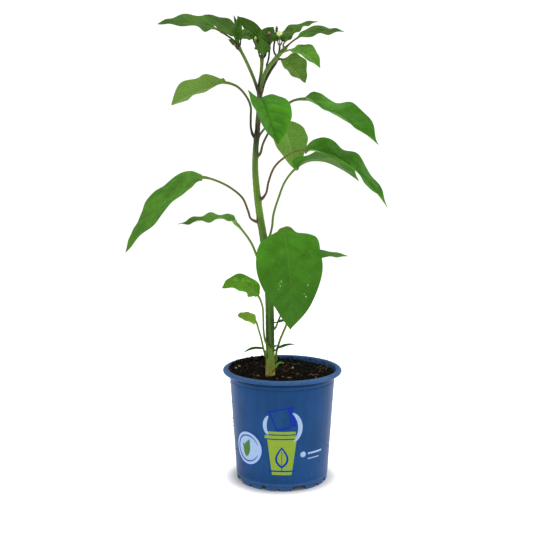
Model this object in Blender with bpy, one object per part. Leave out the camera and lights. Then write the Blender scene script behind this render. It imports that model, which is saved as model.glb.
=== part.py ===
"""Chilli pepper plant in a round nursery pot: pot, compost, stem, branches, leaves and buds.

Lengths are written in millimetres and turned into metres by MM. The origin is on the ground
under the middle of the pot, +Z is up and -Y is the front.
"""

import math
from dataclasses import dataclass, field

import bpy
import numpy as np
from mathutils import Vector
from mathutils.bvhtree import BVHTree

MM = 0.001
GAP = 0.3  # clear space left between two pieces that touch

# Pot
POT_HEIGHT = 113.0
RIM_RADIUS = 60.0
LIP_INNER_RADIUS = 54.0
LIP_HEIGHT = 4.6
WALL_TOP_RADIUS = 53.2
FOOT_RADIUS = 45.9
WALL = 1.3
FLOOR_UNDER = 4.8
FLOOR = 1.4
CENTRE_FOOT_RADIUS = 14.0
POT_SIDES = 48
NOTCH_TURN = 21.0  # degrees from the front to the nearest wide notch
WIDE_NOTCH = (16.0, 5.0)
MIDDLE_NOTCH = (6.0, 4.0)
NARROW_NOTCH = (4.0, 2.5)

# Compost
COMPOST_TOP = 106.8
COMPOST_HEAP = 4.2
COMPOST_SIDES = 40

# Stem
STEM_FOOT = 92.0
FORK_TOP = 389.3
STEM_SIDES = 12


@dataclass
class Stem:
    """A round shoot: points along its middle and the radius at each."""

    path: list
    radii: list
    colour: str = "stem_green"
    sides: int = 8
    rings: int = 8


@dataclass
class Leaf:
    """A leaf with its stalk. The stalk starts on its host at a height, leaves it toward a
    side, runs through the stalk points to the blade, and the rib carries on to the tip."""

    host: str
    height: float
    side: tuple
    stalk: list
    rib: list
    width: float
    up: tuple
    fold: float = 10.0
    curl: float = 0.0
    wave: float = 1.0
    waves: float = 2.5
    stalk_radius: float = 1.1
    stalk_rings: int = 7
    blade_rings: int = 10
    shape: tuple = (0.6, 1.05)
    colour: str = "leaf_green"


@dataclass
class Bud:
    """A flower bud on its own thin stalk."""

    host: str
    height: float
    side: tuple
    stalk: list
    radius: float
    length: float
    stalk_radius: float = 0.6
    colour: str = "bud_cream"
    lean: tuple = field(default=(0.0, 0.0, 1.0))


STEMS = {
    "main_stem": Stem(
        path=[(-12, -9, STEM_FOOT), (-12, -9, 112), (-12.4, -9, 150), (-13, -8.5, 183),
              (-15, -8, 213), (-18.5, -7, 243), (-22.5, -6, 268), (-25.5, -5.5, 292),
              (-27, -5, 314), (-26.5, -5, 332), (-24.8, -4.5, 350), (-23.6, -4, 368),
              (-22.6, -4, 382), (-22.3, -4, FORK_TOP)],
        radii=[4.0, 4.3, 4.2, 4.1, 4.0, 3.8, 3.6, 3.4, 3.1, 2.9, 2.7, 2.4, 2.4, 3.9],
        sides=STEM_SIDES, rings=30),
    "branch_left": Stem(
        path=[(-24.7, -4.8, 389.6), (-25.4, -4.9, 392), (-32.5, -6, 410), (-39.5, -8, 424),
              (-44, -9, 431.5)],
        radii=[1.5, 1.6, 1.6, 1.5, 1.9]),
    "branch_middle": Stem(
        path=[(-23.1, -1.6, 389.6), (-23.0, -1.6, 392), (-20.9, -3, 407), (-20, -5, 422)],
        radii=[1.5, 1.6, 1.6, 1.9], colour="stem_dark"),
    "branch_right_front": Stem(
        path=[(-21.4, -6.4, 389.6), (-21.0, -6.8, 392), (-15.8, -10, 407), (-8.6, -12, 416.5),
              (0, -15, 425.5), (2.3, -16, 427.8)],
        radii=[1.5, 1.7, 2.0, 2.0, 1.8, 2.1], rings=10),
    "branch_right_rear": Stem(
        path=[(-19.9, -3.1, 389.6), (-19.4, -2.9, 392), (-12.6, 0, 407), (-5.8, 2, 418),
              (-3.4, 2, 427), (-3, 1, 433)],
        radii=[1.5, 1.6, 1.5, 1.4, 1.0, 0.9], colour="stem_dark"),
}

LEAVES = {
    "leaf_front_large": Leaf(
        "main_stem", 231, (0.5, -0.85, 0.1), [(-9, -21, 245), (-1, -30, 256)],
        [(2.5, -41, 245), (6, -50, 219), (8, -53, 191), (7, -48, 161)],
        62, (-0.05, -0.85, 0.5), fold=4, curl=-0.1, wave=1.2, blade_rings=13,
        shape=(0.66, 1.08)),
    "leaf_front_upper": Leaf(
        "main_stem", 358, (0.0, -1.0, 0.2), [(-24, -16, 370), (-25, -27, 379)],
        [(-20, -36, 377), (-14, -46, 363), (-10, -52, 351), (-5, -55, 336)],
        46, (0.5, -0.75, 0.55), fold=24, curl=-0.1, shape=(0.65, 0.92)),
    "leaf_rear_centre": Leaf(
        "main_stem", 343, (0.35, 0.9, 0.2), [(-19, 7, 351), (-11, 18, 359), (-2, 27, 358)],
        [(6, 36, 344), (10.5, 40, 329), (14, 40, 311)],
        34, (0.2, 0.85, 0.5), fold=8, shape=(0.7, 1.0)),
    "leaf_right_upper": Leaf(
        "main_stem", 326, (0.95, -0.1, 0.3),
        [(-20, -5, 336), (-13, -5, 350), (-1, -6, 369), (9, -8, 378), (21, -10, 380)],
        [(40, -14, 371), (59, -18, 360), (76, -20, 349), (92, -20, 336)],
        37, (0.45, -0.44, 0.77), fold=20, wave=1.5),
    "leaf_right_middle": Leaf(
        "main_stem", 283, (0.97, -0.2, 0.1),
        [(-17, -7, 288), (-14, -8, 300), (-8, -11, 315), (3, -15, 325), (21, -18, 331)],
        [(37, -21, 330), (54, -24, 323), (72, -26, 310), (87, -26, 294), (101, -24, 276)],
        38, (0.5, -0.44, 0.72), fold=20, wave=1.5, blade_rings=13,
        shape=(0.42, 1.0)),
    "leaf_right_rear": Leaf(
        "main_stem", 243, (0.95, 0.3, 0.1),
        [(-11, -3, 253), (-9, 1, 268), (-4, 5, 284), (3, 9, 301), (12, 12, 312)],
        [(25, 14, 320), (42, 17, 320), (60, 19, 311), (80, 20, 297)],
        36, (0.35, -0.12, 0.85), fold=22, wave=1.2),
    "leaf_right_low": Leaf(
        "main_stem", 154, (0.95, 0.2, 0.2),
        [(-4, -4, 162), (0, 0, 171), (7, 6, 188), (15, 11, 208), (25, 16, 222)],
        [(38, 20, 226), (54, 24, 225), (68, 26, 223.5)],
        24, (0, -0.3, 1), fold=4, wave=0.7, stalk_radius=0.9),
    "leaf_left_upper": Leaf(
        "main_stem", 344, (-0.95, -0.3, 0.1),
        [(-30.5, -8, 350), (-31, -9, 361), (-31, -11, 372), (-36, -12, 383), (-45, -14, 392),
         (-55, -16, 395)],
        [(-71, -24, 390), (-88, -32, 383), (-105, -36, 373)],
        31, (-0.2, 0.5, 0.85), fold=20, wave=1.3, shape=(0.85, 0.8)),
    "leaf_left_long": Leaf(
        "main_stem", 262, (-0.97, -0.2, 0.05),
        [(-31, -7, 264), (-34, -7.5, 272), (-39, -8, 284), (-50, -10, 294), (-63, -12, 301),
         (-78, -14, 305)],
        [(-92, -18, 302), (-109, -24, 289), (-126, -28, 270), (-141, -30, 249),
         (-152, -30, 233)],
        46, (-0.61, -0.48, 0.61), fold=6, wave=1.3, blade_rings=13),
    "leaf_left_small": Leaf(
        "main_stem", 209, (-0.97, 0.0, 0.2),
        [(-22, -8, 217), (-26, -8, 228), (-31, -8, 240), (-39, -10, 252), (-46, -12, 260)],
        [(-59, -16, 265), (-75, -20, 265), (-90, -23, 263), (-102, -24, 260)],
        26, (-0.1, -0.2, 1), fold=10, wave=1.8, waves=3, stalk_radius=1.0),
    "leaf_top_left": Leaf(
        "branch_left", 432, (-0.7, -0.25, 0.7), [(-54, -12, 440), (-65, -16, 446)],
        [(-79, -20, 449.5), (-97, -26, 450.5), (-118, -30, 448)],
        27, (-0.05, -0.55, 0.83), fold=8, stalk_radius=0.9),
    "leaf_top_left_rear": Leaf(
        "branch_left", 429, (-0.2, 0.95, 0.2), [(-44, -3, 435), (-47, 2, 441)],
        [(-54, 8, 448), (-65, 15, 457), (-78, 20, 464)],
        22, (0, -0.5, 0.85), fold=10, stalk_radius=0.7),
    "leaf_top_left_young": Leaf(
        "branch_left", 430.3, (0.3, -0.9, 0.3), [(-43.5, -11.3, 434)],
        [(-44.5, -10.6, 441), (-43, -10, 451), (-43, -8, 459)],
        10, (0.3, -0.85, 0.1), fold=35, wave=0.5, stalk_radius=0.7, colour="leaf_young"),
    "leaf_top_left_inner": Leaf(
        "branch_left", 430, (0.9, 0.4, 0.3), [(-41, -6.5, 434), (-40, -5, 438)],
        [(-33.5, -1, 441), (-27, 1, 438.5)],
        15, (0, -0.8, 0.6), fold=10, wave=0.5, stalk_radius=0.6, colour="leaf_young"),
    "leaf_top_middle_left": Leaf(
        "branch_middle", 420.5, (0.1, 0.8, 0.5), [(-20, 1.5, 428), (-21, 3, 436)],
        [(-28, 5, 446), (-36, 8, 454), (-45, 11, 461)],
        13, (-0.35, -0.8, 0.3), fold=10, wave=0.6, stalk_radius=0.7, colour="leaf_young"),
    "leaf_top_middle_cup": Leaf(
        "branch_middle", 420, (-0.3, -0.9, 0.1), [(-20.6, -11, 422)],
        [(-21, -14, 424.5), (-22, -16, 429), (-23, -15, 435)],
        13, (0, 0.95, 0.3), fold=30, wave=0.5, stalk_radius=0.7, colour="leaf_young"),
    "leaf_top_middle_rear": Leaf(
        "branch_middle", 421, (0.9, -0.1, 0.4), [(-16, -5.5, 427), (-16, -5, 433)],
        [(-15.5, -4, 438), (-13, -3, 443), (-9, -3, 449)],
        19, (0, -0.9, 0.4), fold=12, wave=0.6, stalk_radius=0.7, colour="leaf_young"),
    "leaf_top_right_rear": Leaf(
        "branch_right_front", 426.5, (-0.2, 0.9, 0.4), [(0, -10, 431), (3, -4.5, 436)],
        [(9, 1, 443), (19.5, 7, 451), (35, 10, 456)],
        20, (-0.3, -0.45, 0.85), fold=12, stalk_radius=0.7, shape=(0.4, 1.0)),
    "leaf_top_right": Leaf(
        "branch_right_front", 428, (0.7, -0.1, 0.7), [(7, -18.5, 432), (13, -22, 436)],
        [(20, -25, 439), (31, -28, 442.5), (44, -31, 442.5), (57, -32, 440.5)],
        20, (-0.1, -0.5, 0.85), fold=8, stalk_radius=0.8),
    "leaf_top_right_front": Leaf(
        "branch_right_front", 422, (0.2, -1.0, 0.0), [(4, -22, 424.5), (8, -26, 425)],
        [(16, -34, 423), (25, -42, 417), (34, -46, 406)],
        21, (0.1, -0.65, 0.75), fold=15, stalk_radius=0.8),
    "leaf_top_right_low": Leaf(
        "branch_right_front", 419, (0.7, 0.6, -0.3), [(0, -6, 418)],
        [(8, -4, 411), (15, -2, 404), (22, 0, 396)],
        33, (0.3, 0.5, 0.8), fold=20, stalk_radius=0.8),
    "leaf_base_left_upper": Leaf(
        "main_stem", 141, (-0.75, -0.65, 0.1),
        [(-18.5, -15, 152), (-19, -17, 166), (-20, -20, 180), (-24, -22, 190)],
        [(-33, -25, 199.5), (-45, -29, 203), (-59, -33, 199)],
        22, (-0.1, -0.65, 0.75), fold=4, wave=1.2, stalk_radius=0.8, colour="leaf_yellow"),
    "leaf_base_left_lower": Leaf(
        "main_stem", 126, (-0.8, -0.6, 0.1),
        [(-18, -14, 132), (-21, -17.5, 146), (-24, -20, 157), (-27, -21, 163.5)],
        [(-33, -23, 168), (-44, -25, 171.5)],
        18, (0.1, -0.4, 0.95), fold=4, wave=0.4, stalk_radius=0.8, shape=(0.35, 0.55),
        colour="leaf_yellow"),
    "leaf_base_right_hidden": Leaf(
        "main_stem", 122, (0.97, 0.1, 0.1),
        [(-6, -8.5, 130), (-3, -8, 141), (3, -8, 156), (9, -6, 171)],
        [(13, -3, 183), (17, 0, 197), (20, 3, 209)],
        16, (0.4, -0.8, 0.3), fold=8, wave=0.6, stalk_radius=0.9),
    "seed_leaf_left": Leaf(
        "main_stem", 131, (-0.98, 0.1, 0.1), [(-19, -8, 133.5)],
        [(-25, -9, 135), (-32, -12, 134.5), (-39, -15, 131.5)],
        5, (0, -0.3, 1), fold=5, wave=0.2, stalk_radius=0.6, stalk_rings=3, blade_rings=7),
    "seed_leaf_right": Leaf(
        "main_stem", 132, (0.8, -0.6, 0.1), [(-5, -13, 135.5)],
        [(1, -13, 138), (7, -13, 139.5), (13, -13, 139.5)],
        5, (0, -0.3, 1), fold=5, wave=0.2, stalk_radius=0.6, stalk_rings=3, blade_rings=7),
    "leaf_base_across": Leaf(
        "main_stem", 138.5, (-0.25, -0.95, 0.0), [(-13, -15.6, 138.6)],
        [(-10, -16, 138.2), (-7, -15.4, 138.4), (-4.5, -14, 139)],
        3, (0, -0.6, 0.8), fold=5, wave=0.1, stalk_radius=0.5, stalk_rings=3, blade_rings=5),
    "leaf_base_right_scale": Leaf(
        "main_stem", 160.5, (0.85, -0.5, 0.1), [(-4, -11, 162)],
        [(-1, -11, 163), (3, -11, 163)],
        4, (0, -0.5, 0.9), fold=5, wave=0.1, stalk_radius=0.5, stalk_rings=3, blade_rings=5),
    "sprout": Leaf(
        "main_stem", 112.5, (0.6, -0.8, 0.1), [(-7, -14.5, 116)],
        [(-5, -15, 119.5), (-2, -15.5, 121.5), (2, -16, 121)],
        4, (0.2, -0.3, 1), fold=10, wave=0.1, stalk_radius=0.6, stalk_rings=4, blade_rings=6,
        colour="leaf_bright"),
}

BUDS = {
    "bud_middle_left": Bud("branch_middle", 421, (-0.9, 0.3, 0.3),
                           [(-24.5, -3.5, 428), (-26.5, -5, 435.5)], 1.3, 4.6, 0.5),
    "bud_middle_dark": Bud("branch_right_front", 410, (-0.7, 0.4, 0.6),
                           [(-14.5, -7, 416), (-13, -8, 427), (-13.5, -8.7, 440)], 1.6, 4.0,
                           0.9, "bud_olive"),
    "bud_right_open": Bud("branch_right_rear", 432, (0.1, -0.9, 0.3),
                          [(-3.2, -3.5, 435), (-3.2, -6, 440)], 3.1, 5.6, 0.6,
                          lean=(-0.1, -0.6, 0.8)),
    "bud_right_rear": Bud("branch_right_rear", 421, (-0.85, 0.3, 0.5),
                          [(-8.5, 4.5, 426), (-8, 4.5, 437), (-6, 4, 447)], 1.2, 4.2, 0.9,
                          "bud_olive"),
}

# name: (x, y, length, thickness, turn in degrees, colour)
LITTER = {
    "bark_chip_left": (-24, -16.5, 4.5, 2.4, 20, "bark"),
    "bark_chip_front": (0, -21, 3.6, 2.2, 75, "bark"),
    "bark_chip_front_right": (6.5, -23, 4.4, 2.2, 10, "bark"),
    "bark_chip_right": (29, -12, 4.4, 2.4, 40, "bark"),
    "grit_left": (-44, 12, 3.2, 2.2, 0, "grit"),
    "grit_far_left": (-47, 3, 3.4, 2.2, 50, "grit"),
    "seed_case": (11, 14, 4.4, 2.8, 65, "seed"),
}

COLOURS = {
    "pot_blue": ((0.075, 0.160, 0.330), 0.42),
    "compost": ((0.018, 0.012, 0.009), 0.95),
    "stem_green": ((0.105, 0.200, 0.045), 0.5),
    "stem_dark": ((0.045, 0.035, 0.035), 0.5),
    "leaf_green": ((0.060, 0.210, 0.022), 0.45),
    "leaf_young": ((0.060, 0.160, 0.030), 0.45),
    "leaf_yellow": ((0.170, 0.360, 0.030), 0.45),
    "leaf_bright": ((0.150, 0.420, 0.040), 0.45),
    "bud_cream": ((0.700, 0.720, 0.420), 0.5),
    "bud_olive": ((0.220, 0.250, 0.090), 0.5),
    "bark": ((0.270, 0.160, 0.070), 0.85),
    "grit": ((0.420, 0.360, 0.260), 0.85),
    "seed": ((0.300, 0.290, 0.080), 0.6),
}


def unit(vector):
    """The vector at length one."""
    vector = np.asarray(vector, float)
    return vector / np.linalg.norm(vector)


def square_to(vector, axis):
    """The part of a vector that is at right angles to an axis, at length one."""
    return unit(np.asarray(vector, float) - np.dot(vector, axis) * axis)


class Curve:
    """A smooth curve through control points, measured along its length."""

    def __init__(self, points, steps=24):
        points = np.asarray(points, float)
        spans = np.linalg.norm(np.diff(points, axis=0), axis=1)
        slopes = np.diff(points, axis=0) / spans[:, None]
        inner = (slopes[:-1] * spans[1:, None] + slopes[1:] * spans[:-1, None])
        inner /= (spans[:-1] + spans[1:])[:, None]
        ends = np.vstack([slopes[:1], inner, slopes[-1:]])
        dense = [points[0]]
        for index, span in enumerate(spans):
            for step in range(1, steps + 1):
                t = step / steps
                dense.append(
                    (2 * t**3 - 3 * t**2 + 1) * points[index]
                    + (t**3 - 2 * t**2 + t) * span * ends[index]
                    + (3 * t**2 - 2 * t**3) * points[index + 1]
                    + (t**3 - t**2) * span * ends[index + 1]
                )
        self.dense = np.array(dense)
        steps_long = np.linalg.norm(np.diff(self.dense, axis=0), axis=1)
        self.along = np.concatenate([[0.0], np.cumsum(steps_long)])
        self.length = self.along[-1]
        self.marks = self.along[::steps]

    def point(self, distance):
        """The place at a distance along the curve."""
        return np.array([np.interp(distance, self.along, self.dense[:, k]) for k in range(3)])

    def heading(self, distance):
        """The direction of the curve at a distance along it."""
        step = min(0.4, self.length / 50)
        return unit(self.point(min(distance + step, self.length))
                    - self.point(max(distance - step, 0.0)))

    def at_height(self, height):
        """The distance along the curve where it comes nearest to a height."""
        return self.along[int(np.argmin(np.abs(self.dense[:, 2] - height)))]


def material(name):
    """One flat Principled material."""
    colour, roughness = COLOURS[name]
    made = bpy.data.materials.get(name) or bpy.data.materials.new(name)
    made.use_nodes = True
    made.diffuse_color = (*colour, 1.0)
    shader = made.node_tree.nodes["Principled BSDF"]
    shader.inputs["Base Color"].default_value = (*colour, 1.0)
    shader.inputs["Roughness"].default_value = roughness
    shader.inputs["Metallic"].default_value = 0.0
    return made


def add_object(name, points, faces, colour):
    """A mesh object from points in millimetres, with its faces turned outward."""
    points = np.asarray(points, float) * MM
    volume = sum(
        np.dot(points[face[0]], np.cross(points[face[k]], points[face[k + 1]]))
        for face in faces for k in range(1, len(face) - 1)
    )
    if volume < 0:
        faces = [tuple(reversed(face)) for face in faces]
    mesh = bpy.data.meshes.new(name)
    mesh.from_pydata([tuple(point) for point in points], [], faces)
    mesh.update()
    mesh.materials.append(material(colour))
    made = bpy.data.objects.new(name, mesh)
    bpy.context.scene.collection.objects.link(made)
    return made


def skin(rings, tip=None):
    """Points and faces of a closed skin over rings of the same count, flat at the start and
    either flat or drawn to one point at the end."""
    count = len(rings[0])
    points = [point for ring in rings for point in ring]
    faces = []
    for row in range(len(rings) - 1):
        for k in range(count):
            a, b = row * count + k, row * count + (k + 1) % count
            faces.append((a, b, b + count, a + count))
    faces.append(tuple(reversed(range(count))))
    last = (len(rings) - 1) * count
    if tip is None:
        faces.append(tuple(range(last, last + count)))
    else:
        points.append(tip)
        faces += [(last + k, last + (k + 1) % count, len(points) - 1) for k in range(count)]
    return points, faces


def spin(profile, sides):
    """Points and faces of a ring-shaped solid: a closed outline of (radius, height) spun
    round the Z axis. An outline point at radius zero becomes one point on the axis."""
    points, rows = [], []
    for radius, height in profile:
        if radius < 1e-6:
            rows.append([len(points)] * sides)
            points.append((0.0, 0.0, height))
            continue
        rows.append(list(range(len(points), len(points) + sides)))
        for k in range(sides):
            turn = 2 * math.pi * k / sides
            points.append((radius * math.cos(turn), radius * math.sin(turn), height))
    faces = []
    for row, after in zip(rows, rows[1:] + rows[:1]):
        for k in range(sides):
            face = [row[k], row[(k + 1) % sides], after[(k + 1) % sides], after[k]]
            face = [index for n, index in enumerate(face) if index != face[n - 1]]
            if len(set(face)) > 2:
                faces.append(tuple(face))
    return points, faces


def cut(target, cutter):
    """Takes the cutter out of the target with an exact Boolean."""
    cutter.hide_render = True
    cutter.display_type = "WIRE"
    modifier = target.modifiers.new("cut", "BOOLEAN")
    modifier.operation = "DIFFERENCE"
    modifier.solver = "EXACT"
    modifier.object = cutter


def build_pot():
    """The pot: one moulded shell with a rolled lip, a raised floor and a notched foot."""
    lip_under = POT_HEIGHT - LIP_HEIGHT
    floor_top = FLOOR_UNDER + FLOOR
    slope = (WALL_TOP_RADIUS - FOOT_RADIUS) / lip_under
    inner_foot = FOOT_RADIUS - WALL
    profile = [
        (FOOT_RADIUS, 0.0), (FOOT_RADIUS + 5.6 * slope, 5.6), (FOOT_RADIUS + 6.0 * slope + 0.25, 6.0),
        (WALL_TOP_RADIUS, lip_under), (RIM_RADIUS - 1.6, lip_under + 0.3),
        (RIM_RADIUS - 0.3, lip_under + 1.2), (RIM_RADIUS, lip_under + 2.4),
        (RIM_RADIUS - 0.5, POT_HEIGHT - 0.8), (RIM_RADIUS - 1.8, POT_HEIGHT),
        (LIP_INNER_RADIUS + 0.9, POT_HEIGHT), (LIP_INNER_RADIUS, POT_HEIGHT - 0.8),
        (WALL_TOP_RADIUS - WALL, lip_under - 2.0), (inner_foot + floor_top * slope, floor_top),
        (CENTRE_FOOT_RADIUS + 1.2, floor_top), (CENTRE_FOOT_RADIUS, FLOOR), (0.0, FLOOR),
        (0.0, 0.0), (CENTRE_FOOT_RADIUS, 0.0), (CENTRE_FOOT_RADIUS + 1.4, FLOOR_UNDER),
        (inner_foot + FLOOR_UNDER * slope, FLOOR_UNDER), (inner_foot, 0.0),
    ]
    pot = add_object("pot", *spin(profile, POT_SIDES), "pot_blue")
    points, faces = [], []
    for quarter in range(4):
        for turn, (wide, high) in (
            (NOTCH_TURN, WIDE_NOTCH), (NOTCH_TURN - 45.0, MIDDLE_NOTCH),
            (NOTCH_TURN - 26.5, NARROW_NOTCH), (NOTCH_TURN - 63.5, NARROW_NOTCH),
        ):
            angle = math.radians(turn + 90.0 * quarter - 90.0)
            out = np.array([math.cos(angle), math.sin(angle), 0.0])
            across = np.array([-out[1], out[0], 0.0])
            start = len(points)
            top = min(high, FLOOR_UNDER - 0.6)
            for reach in (FOOT_RADIUS - 4.0, FOOT_RADIUS + 3.0):
                for side, level in ((-0.5, -2.0), (0.5, -2.0), (0.42, top), (-0.42, top)):
                    points.append(out * reach + across * side * wide + np.array([0, 0, level]))
            faces += [(start, start + 1, start + 2, start + 3),
                      (start + 7, start + 6, start + 5, start + 4)]
            faces += [(start + k, start + 4 + k, start + 4 + (k + 1) % 4, start + (k + 1) % 4)
                      for k in range(4)]
    cut(pot, add_object("foot_notches", points, faces, "pot_blue"))
    return pot


def compost_level(x, y):
    """Height of the compost: lumpy, and heaped up toward the rear left."""
    heap = max(0.0, (-0.72 * x + 0.45 * y) / 52.0) ** 1.5 * COMPOST_HEAP
    lumps = (0.5 * math.sin(0.31 * x + 1.1) * math.cos(0.27 * y)
             + 0.35 * math.sin(0.63 * y + 0.5 * x) + 0.25 * math.sin(0.95 * x - 0.4 * y))
    edge = 1.3 * (math.hypot(x, y) / 51.0) ** 8
    return COMPOST_TOP + heap + lumps + edge


def build_compost(stem_curve):
    """The compost: fills the pot to just under the lip, with a hole for the foot of the stem."""
    slope = (WALL_TOP_RADIUS - FOOT_RADIUS) / (POT_HEIGHT - LIP_HEIGHT)
    inner_foot = FOOT_RADIUS - WALL
    low = FLOOR_UNDER + FLOOR + GAP
    shoulder = WALL_TOP_RADIUS - WALL - GAP - 0.2

    def wall(height):
        return inner_foot + height * slope - GAP - 0.2

    rings = [(CENTRE_FOOT_RADIUS - 1.0, FLOOR + GAP), (CENTRE_FOOT_RADIUS - 0.2, low),
             (wall(low), low), (wall(104.0), 104.0)]
    spread = [min(shoulder, wall(106.4)), 44.0, 35.0, 26.0, 17.0, 8.0]
    points, faces = [(0.0, 0.0, FLOOR + GAP)], []
    for radius, height in rings + [(radius, None) for radius in spread]:
        for k in range(COMPOST_SIDES):
            turn = 2 * math.pi * (k + 0.5 * (height is None)) / COMPOST_SIDES
            x, y = radius * math.cos(turn), radius * math.sin(turn)
            points.append((x, y, compost_level(x, y) if height is None else height))
    points.append((0.0, 0.0, compost_level(0.0, 0.0)))
    rows = len(rings) + len(spread)
    for k in range(COMPOST_SIDES):
        after = (k + 1) % COMPOST_SIDES
        faces.append((0, 1 + after, 1 + k))
        for row in range(rows - 1):
            a = 1 + row * COMPOST_SIDES
            faces.append((a + k, a + after, a + COMPOST_SIDES + after, a + COMPOST_SIDES + k))
        a = 1 + (rows - 1) * COMPOST_SIDES
        faces.append((a + k, a + after, len(points) - 1))
    compost = add_object("compost", points, faces, "compost")
    middle = stem_curve.point(0.0)
    hole = [[middle + np.array([4.9 * math.cos(a), 4.9 * math.sin(a), rise])
             for a in (2 * math.pi * k / 16 for k in range(16))] for rise in (-GAP, 40.0)]
    cut(compost, add_object("stem_hole", *skin(hole), "compost"))
    return compost


class Shoots:
    """Builds the stems, and seats leaves and buds on them."""

    def __init__(self):
        self.curves = {name: Curve(stem.path) for name, stem in STEMS.items()}

    def radius(self, name, distance):
        """Radius of a stem at a distance along it."""
        return float(np.interp(distance, self.curves[name].marks, STEMS[name].radii))

    def stem(self, name):
        """One stem as a round tube with flat ends."""
        stem, curve = STEMS[name], self.curves[name]
        side, rings = np.array([1.0, 0.0, 0.0]), []
        for row in range(stem.rings + 1):
            distance = curve.length * row / stem.rings
            if row == stem.rings - 1:
                distance = curve.length - 0.9
            ahead = curve.heading(distance)
            if row == 0 or (name == "main_stem" and row == stem.rings):
                ahead = np.array([0.0, 0.0, 1.0])
            side = square_to(side, ahead)
            across = np.cross(ahead, side)
            radius = self.radius(name, distance)
            if row == stem.rings and name != "main_stem":
                radius *= 0.72
            middle = curve.point(distance)
            rings.append([middle + radius * (math.cos(a) * side + math.sin(a) * across)
                          for a in (2 * math.pi * k / stem.sides for k in range(stem.sides))])
        return add_object(name, *skin(rings), stem.colour)

    def seat(self, host, height, side):
        """Where a stalk starts: just clear of its host's skin, and the way it leaves it."""
        curve = self.curves[host]
        distance = curve.at_height(height)
        middle, ahead = curve.point(distance), curve.heading(distance)
        if height >= curve.dense[-1, 2] - 0.3:
            return curve.dense[-1] + ahead * (GAP + 0.05), ahead
        out = square_to(side, ahead)
        return middle + out * (self.radius(host, distance) + GAP), out

    def leaf(self, name):
        """One leaf: a stalk that flattens into a folded, slightly wavy blade."""
        leaf = LEAVES[name]
        start, out = self.seat(leaf.host, leaf.height, leaf.side)
        lead = 1.4 * leaf.stalk_radius
        curve = Curve([start, start + out * lead, *leaf.stalk, *leaf.rib])
        blade_from = curve.marks[1 + len(leaf.stalk)]
        blade_long = curve.length - blade_from
        up = np.asarray(leaf.up, float)
        peak = leaf.shape[0] / sum(leaf.shape)
        tallest = peak ** leaf.shape[0] * (1 - peak) ** leaf.shape[1]
        fold = math.radians(leaf.fold)
        rings = []
        for row in range(leaf.stalk_rings + 1):
            distance = blade_from * row / leaf.stalk_rings
            ahead = out if row == 0 else curve.heading(distance)
            rise = square_to(up, ahead)
            across = np.cross(ahead, rise)
            middle = curve.point(distance)
            swell = 1.0 + 0.25 * max(0.0, 1.0 - distance / 5.0)
            radius = leaf.stalk_radius * swell
            rings.append([middle + radius * (math.sin(a) * across + math.cos(a) * rise)
                          for a in (math.radians(d) for d in
                                    (-72, -36, 0, 36, 72, 108, 144, 180, 216, 252))])
        for row in range(1, leaf.blade_rings):
            part = row / leaf.blade_rings
            part += 0.35 * (1 / leaf.blade_rings) * (1 if row == leaf.blade_rings - 1 else 0)
            distance = blade_from + blade_long * part
            ahead = curve.heading(distance)
            rise = square_to(up, ahead)
            across = np.cross(ahead, rise)
            middle = curve.point(distance)
            half = (0.5 * leaf.width * part ** leaf.shape[0] * (1 - part) ** leaf.shape[1]
                    / tallest + leaf.stalk_radius * (1 - part) ** 4)
            thick = 0.4 + (leaf.stalk_radius - 0.4) * (1 - part) ** 3
            upper, lower = [], []
            for q in (-1.0, -0.5, 0.0, 0.5, 1.0):
                ripple = leaf.wave * q * q * math.sin(
                    2 * math.pi * leaf.waves * part + (1.3 if q < 0 else 0.0))
                place = (middle + across * half * q * math.cos(fold)
                         + rise * (half * (abs(q) * math.sin(fold) + leaf.curl * q * q)
                                   + ripple * min(1.0, half / 6.0)))
                depth = thick + (0.25 - thick) * abs(q) ** 0.5
                upper.append(place + rise * depth)
                lower.append(place - rise * depth)
            rings.append(upper + lower[::-1])
        return add_object(name, *skin(rings, curve.point(curve.length)), leaf.colour)

    def bud(self, name):
        """One flower bud: a thin stalk that swells into a pointed oval."""
        bud = BUDS[name]
        start, out = self.seat(bud.host, bud.height, bud.side)
        curve = Curve([start, start + out * 1.2, *bud.stalk])
        lean = unit(bud.lean)
        side, rings = np.array([1.0, 0.0, 0.0]), []
        sides = [2 * math.pi * k / 8 for k in range(8)]
        for row in range(7):
            distance = curve.length * row / 6
            ahead = out if row == 0 else curve.heading(distance)
            side = square_to(side, ahead)
            across = np.cross(ahead, side)
            middle = curve.point(distance)
            rings.append([middle + bud.stalk_radius * (math.cos(a) * side + math.sin(a) * across)
                          for a in sides])
        side = square_to(side, lean)
        across = np.cross(lean, side)
        top = curve.point(curve.length)
        for part in (0.12, 0.3, 0.5, 0.7, 0.88):
            radius = bud.radius * math.sin(math.pi * part) ** 0.7
            rings.append([top + lean * bud.length * part
                          + radius * (math.cos(a) * side + math.sin(a) * across)
                          for a in sides])
        return add_object(name, *skin(rings, top + lean * bud.length), bud.colour)


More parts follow.
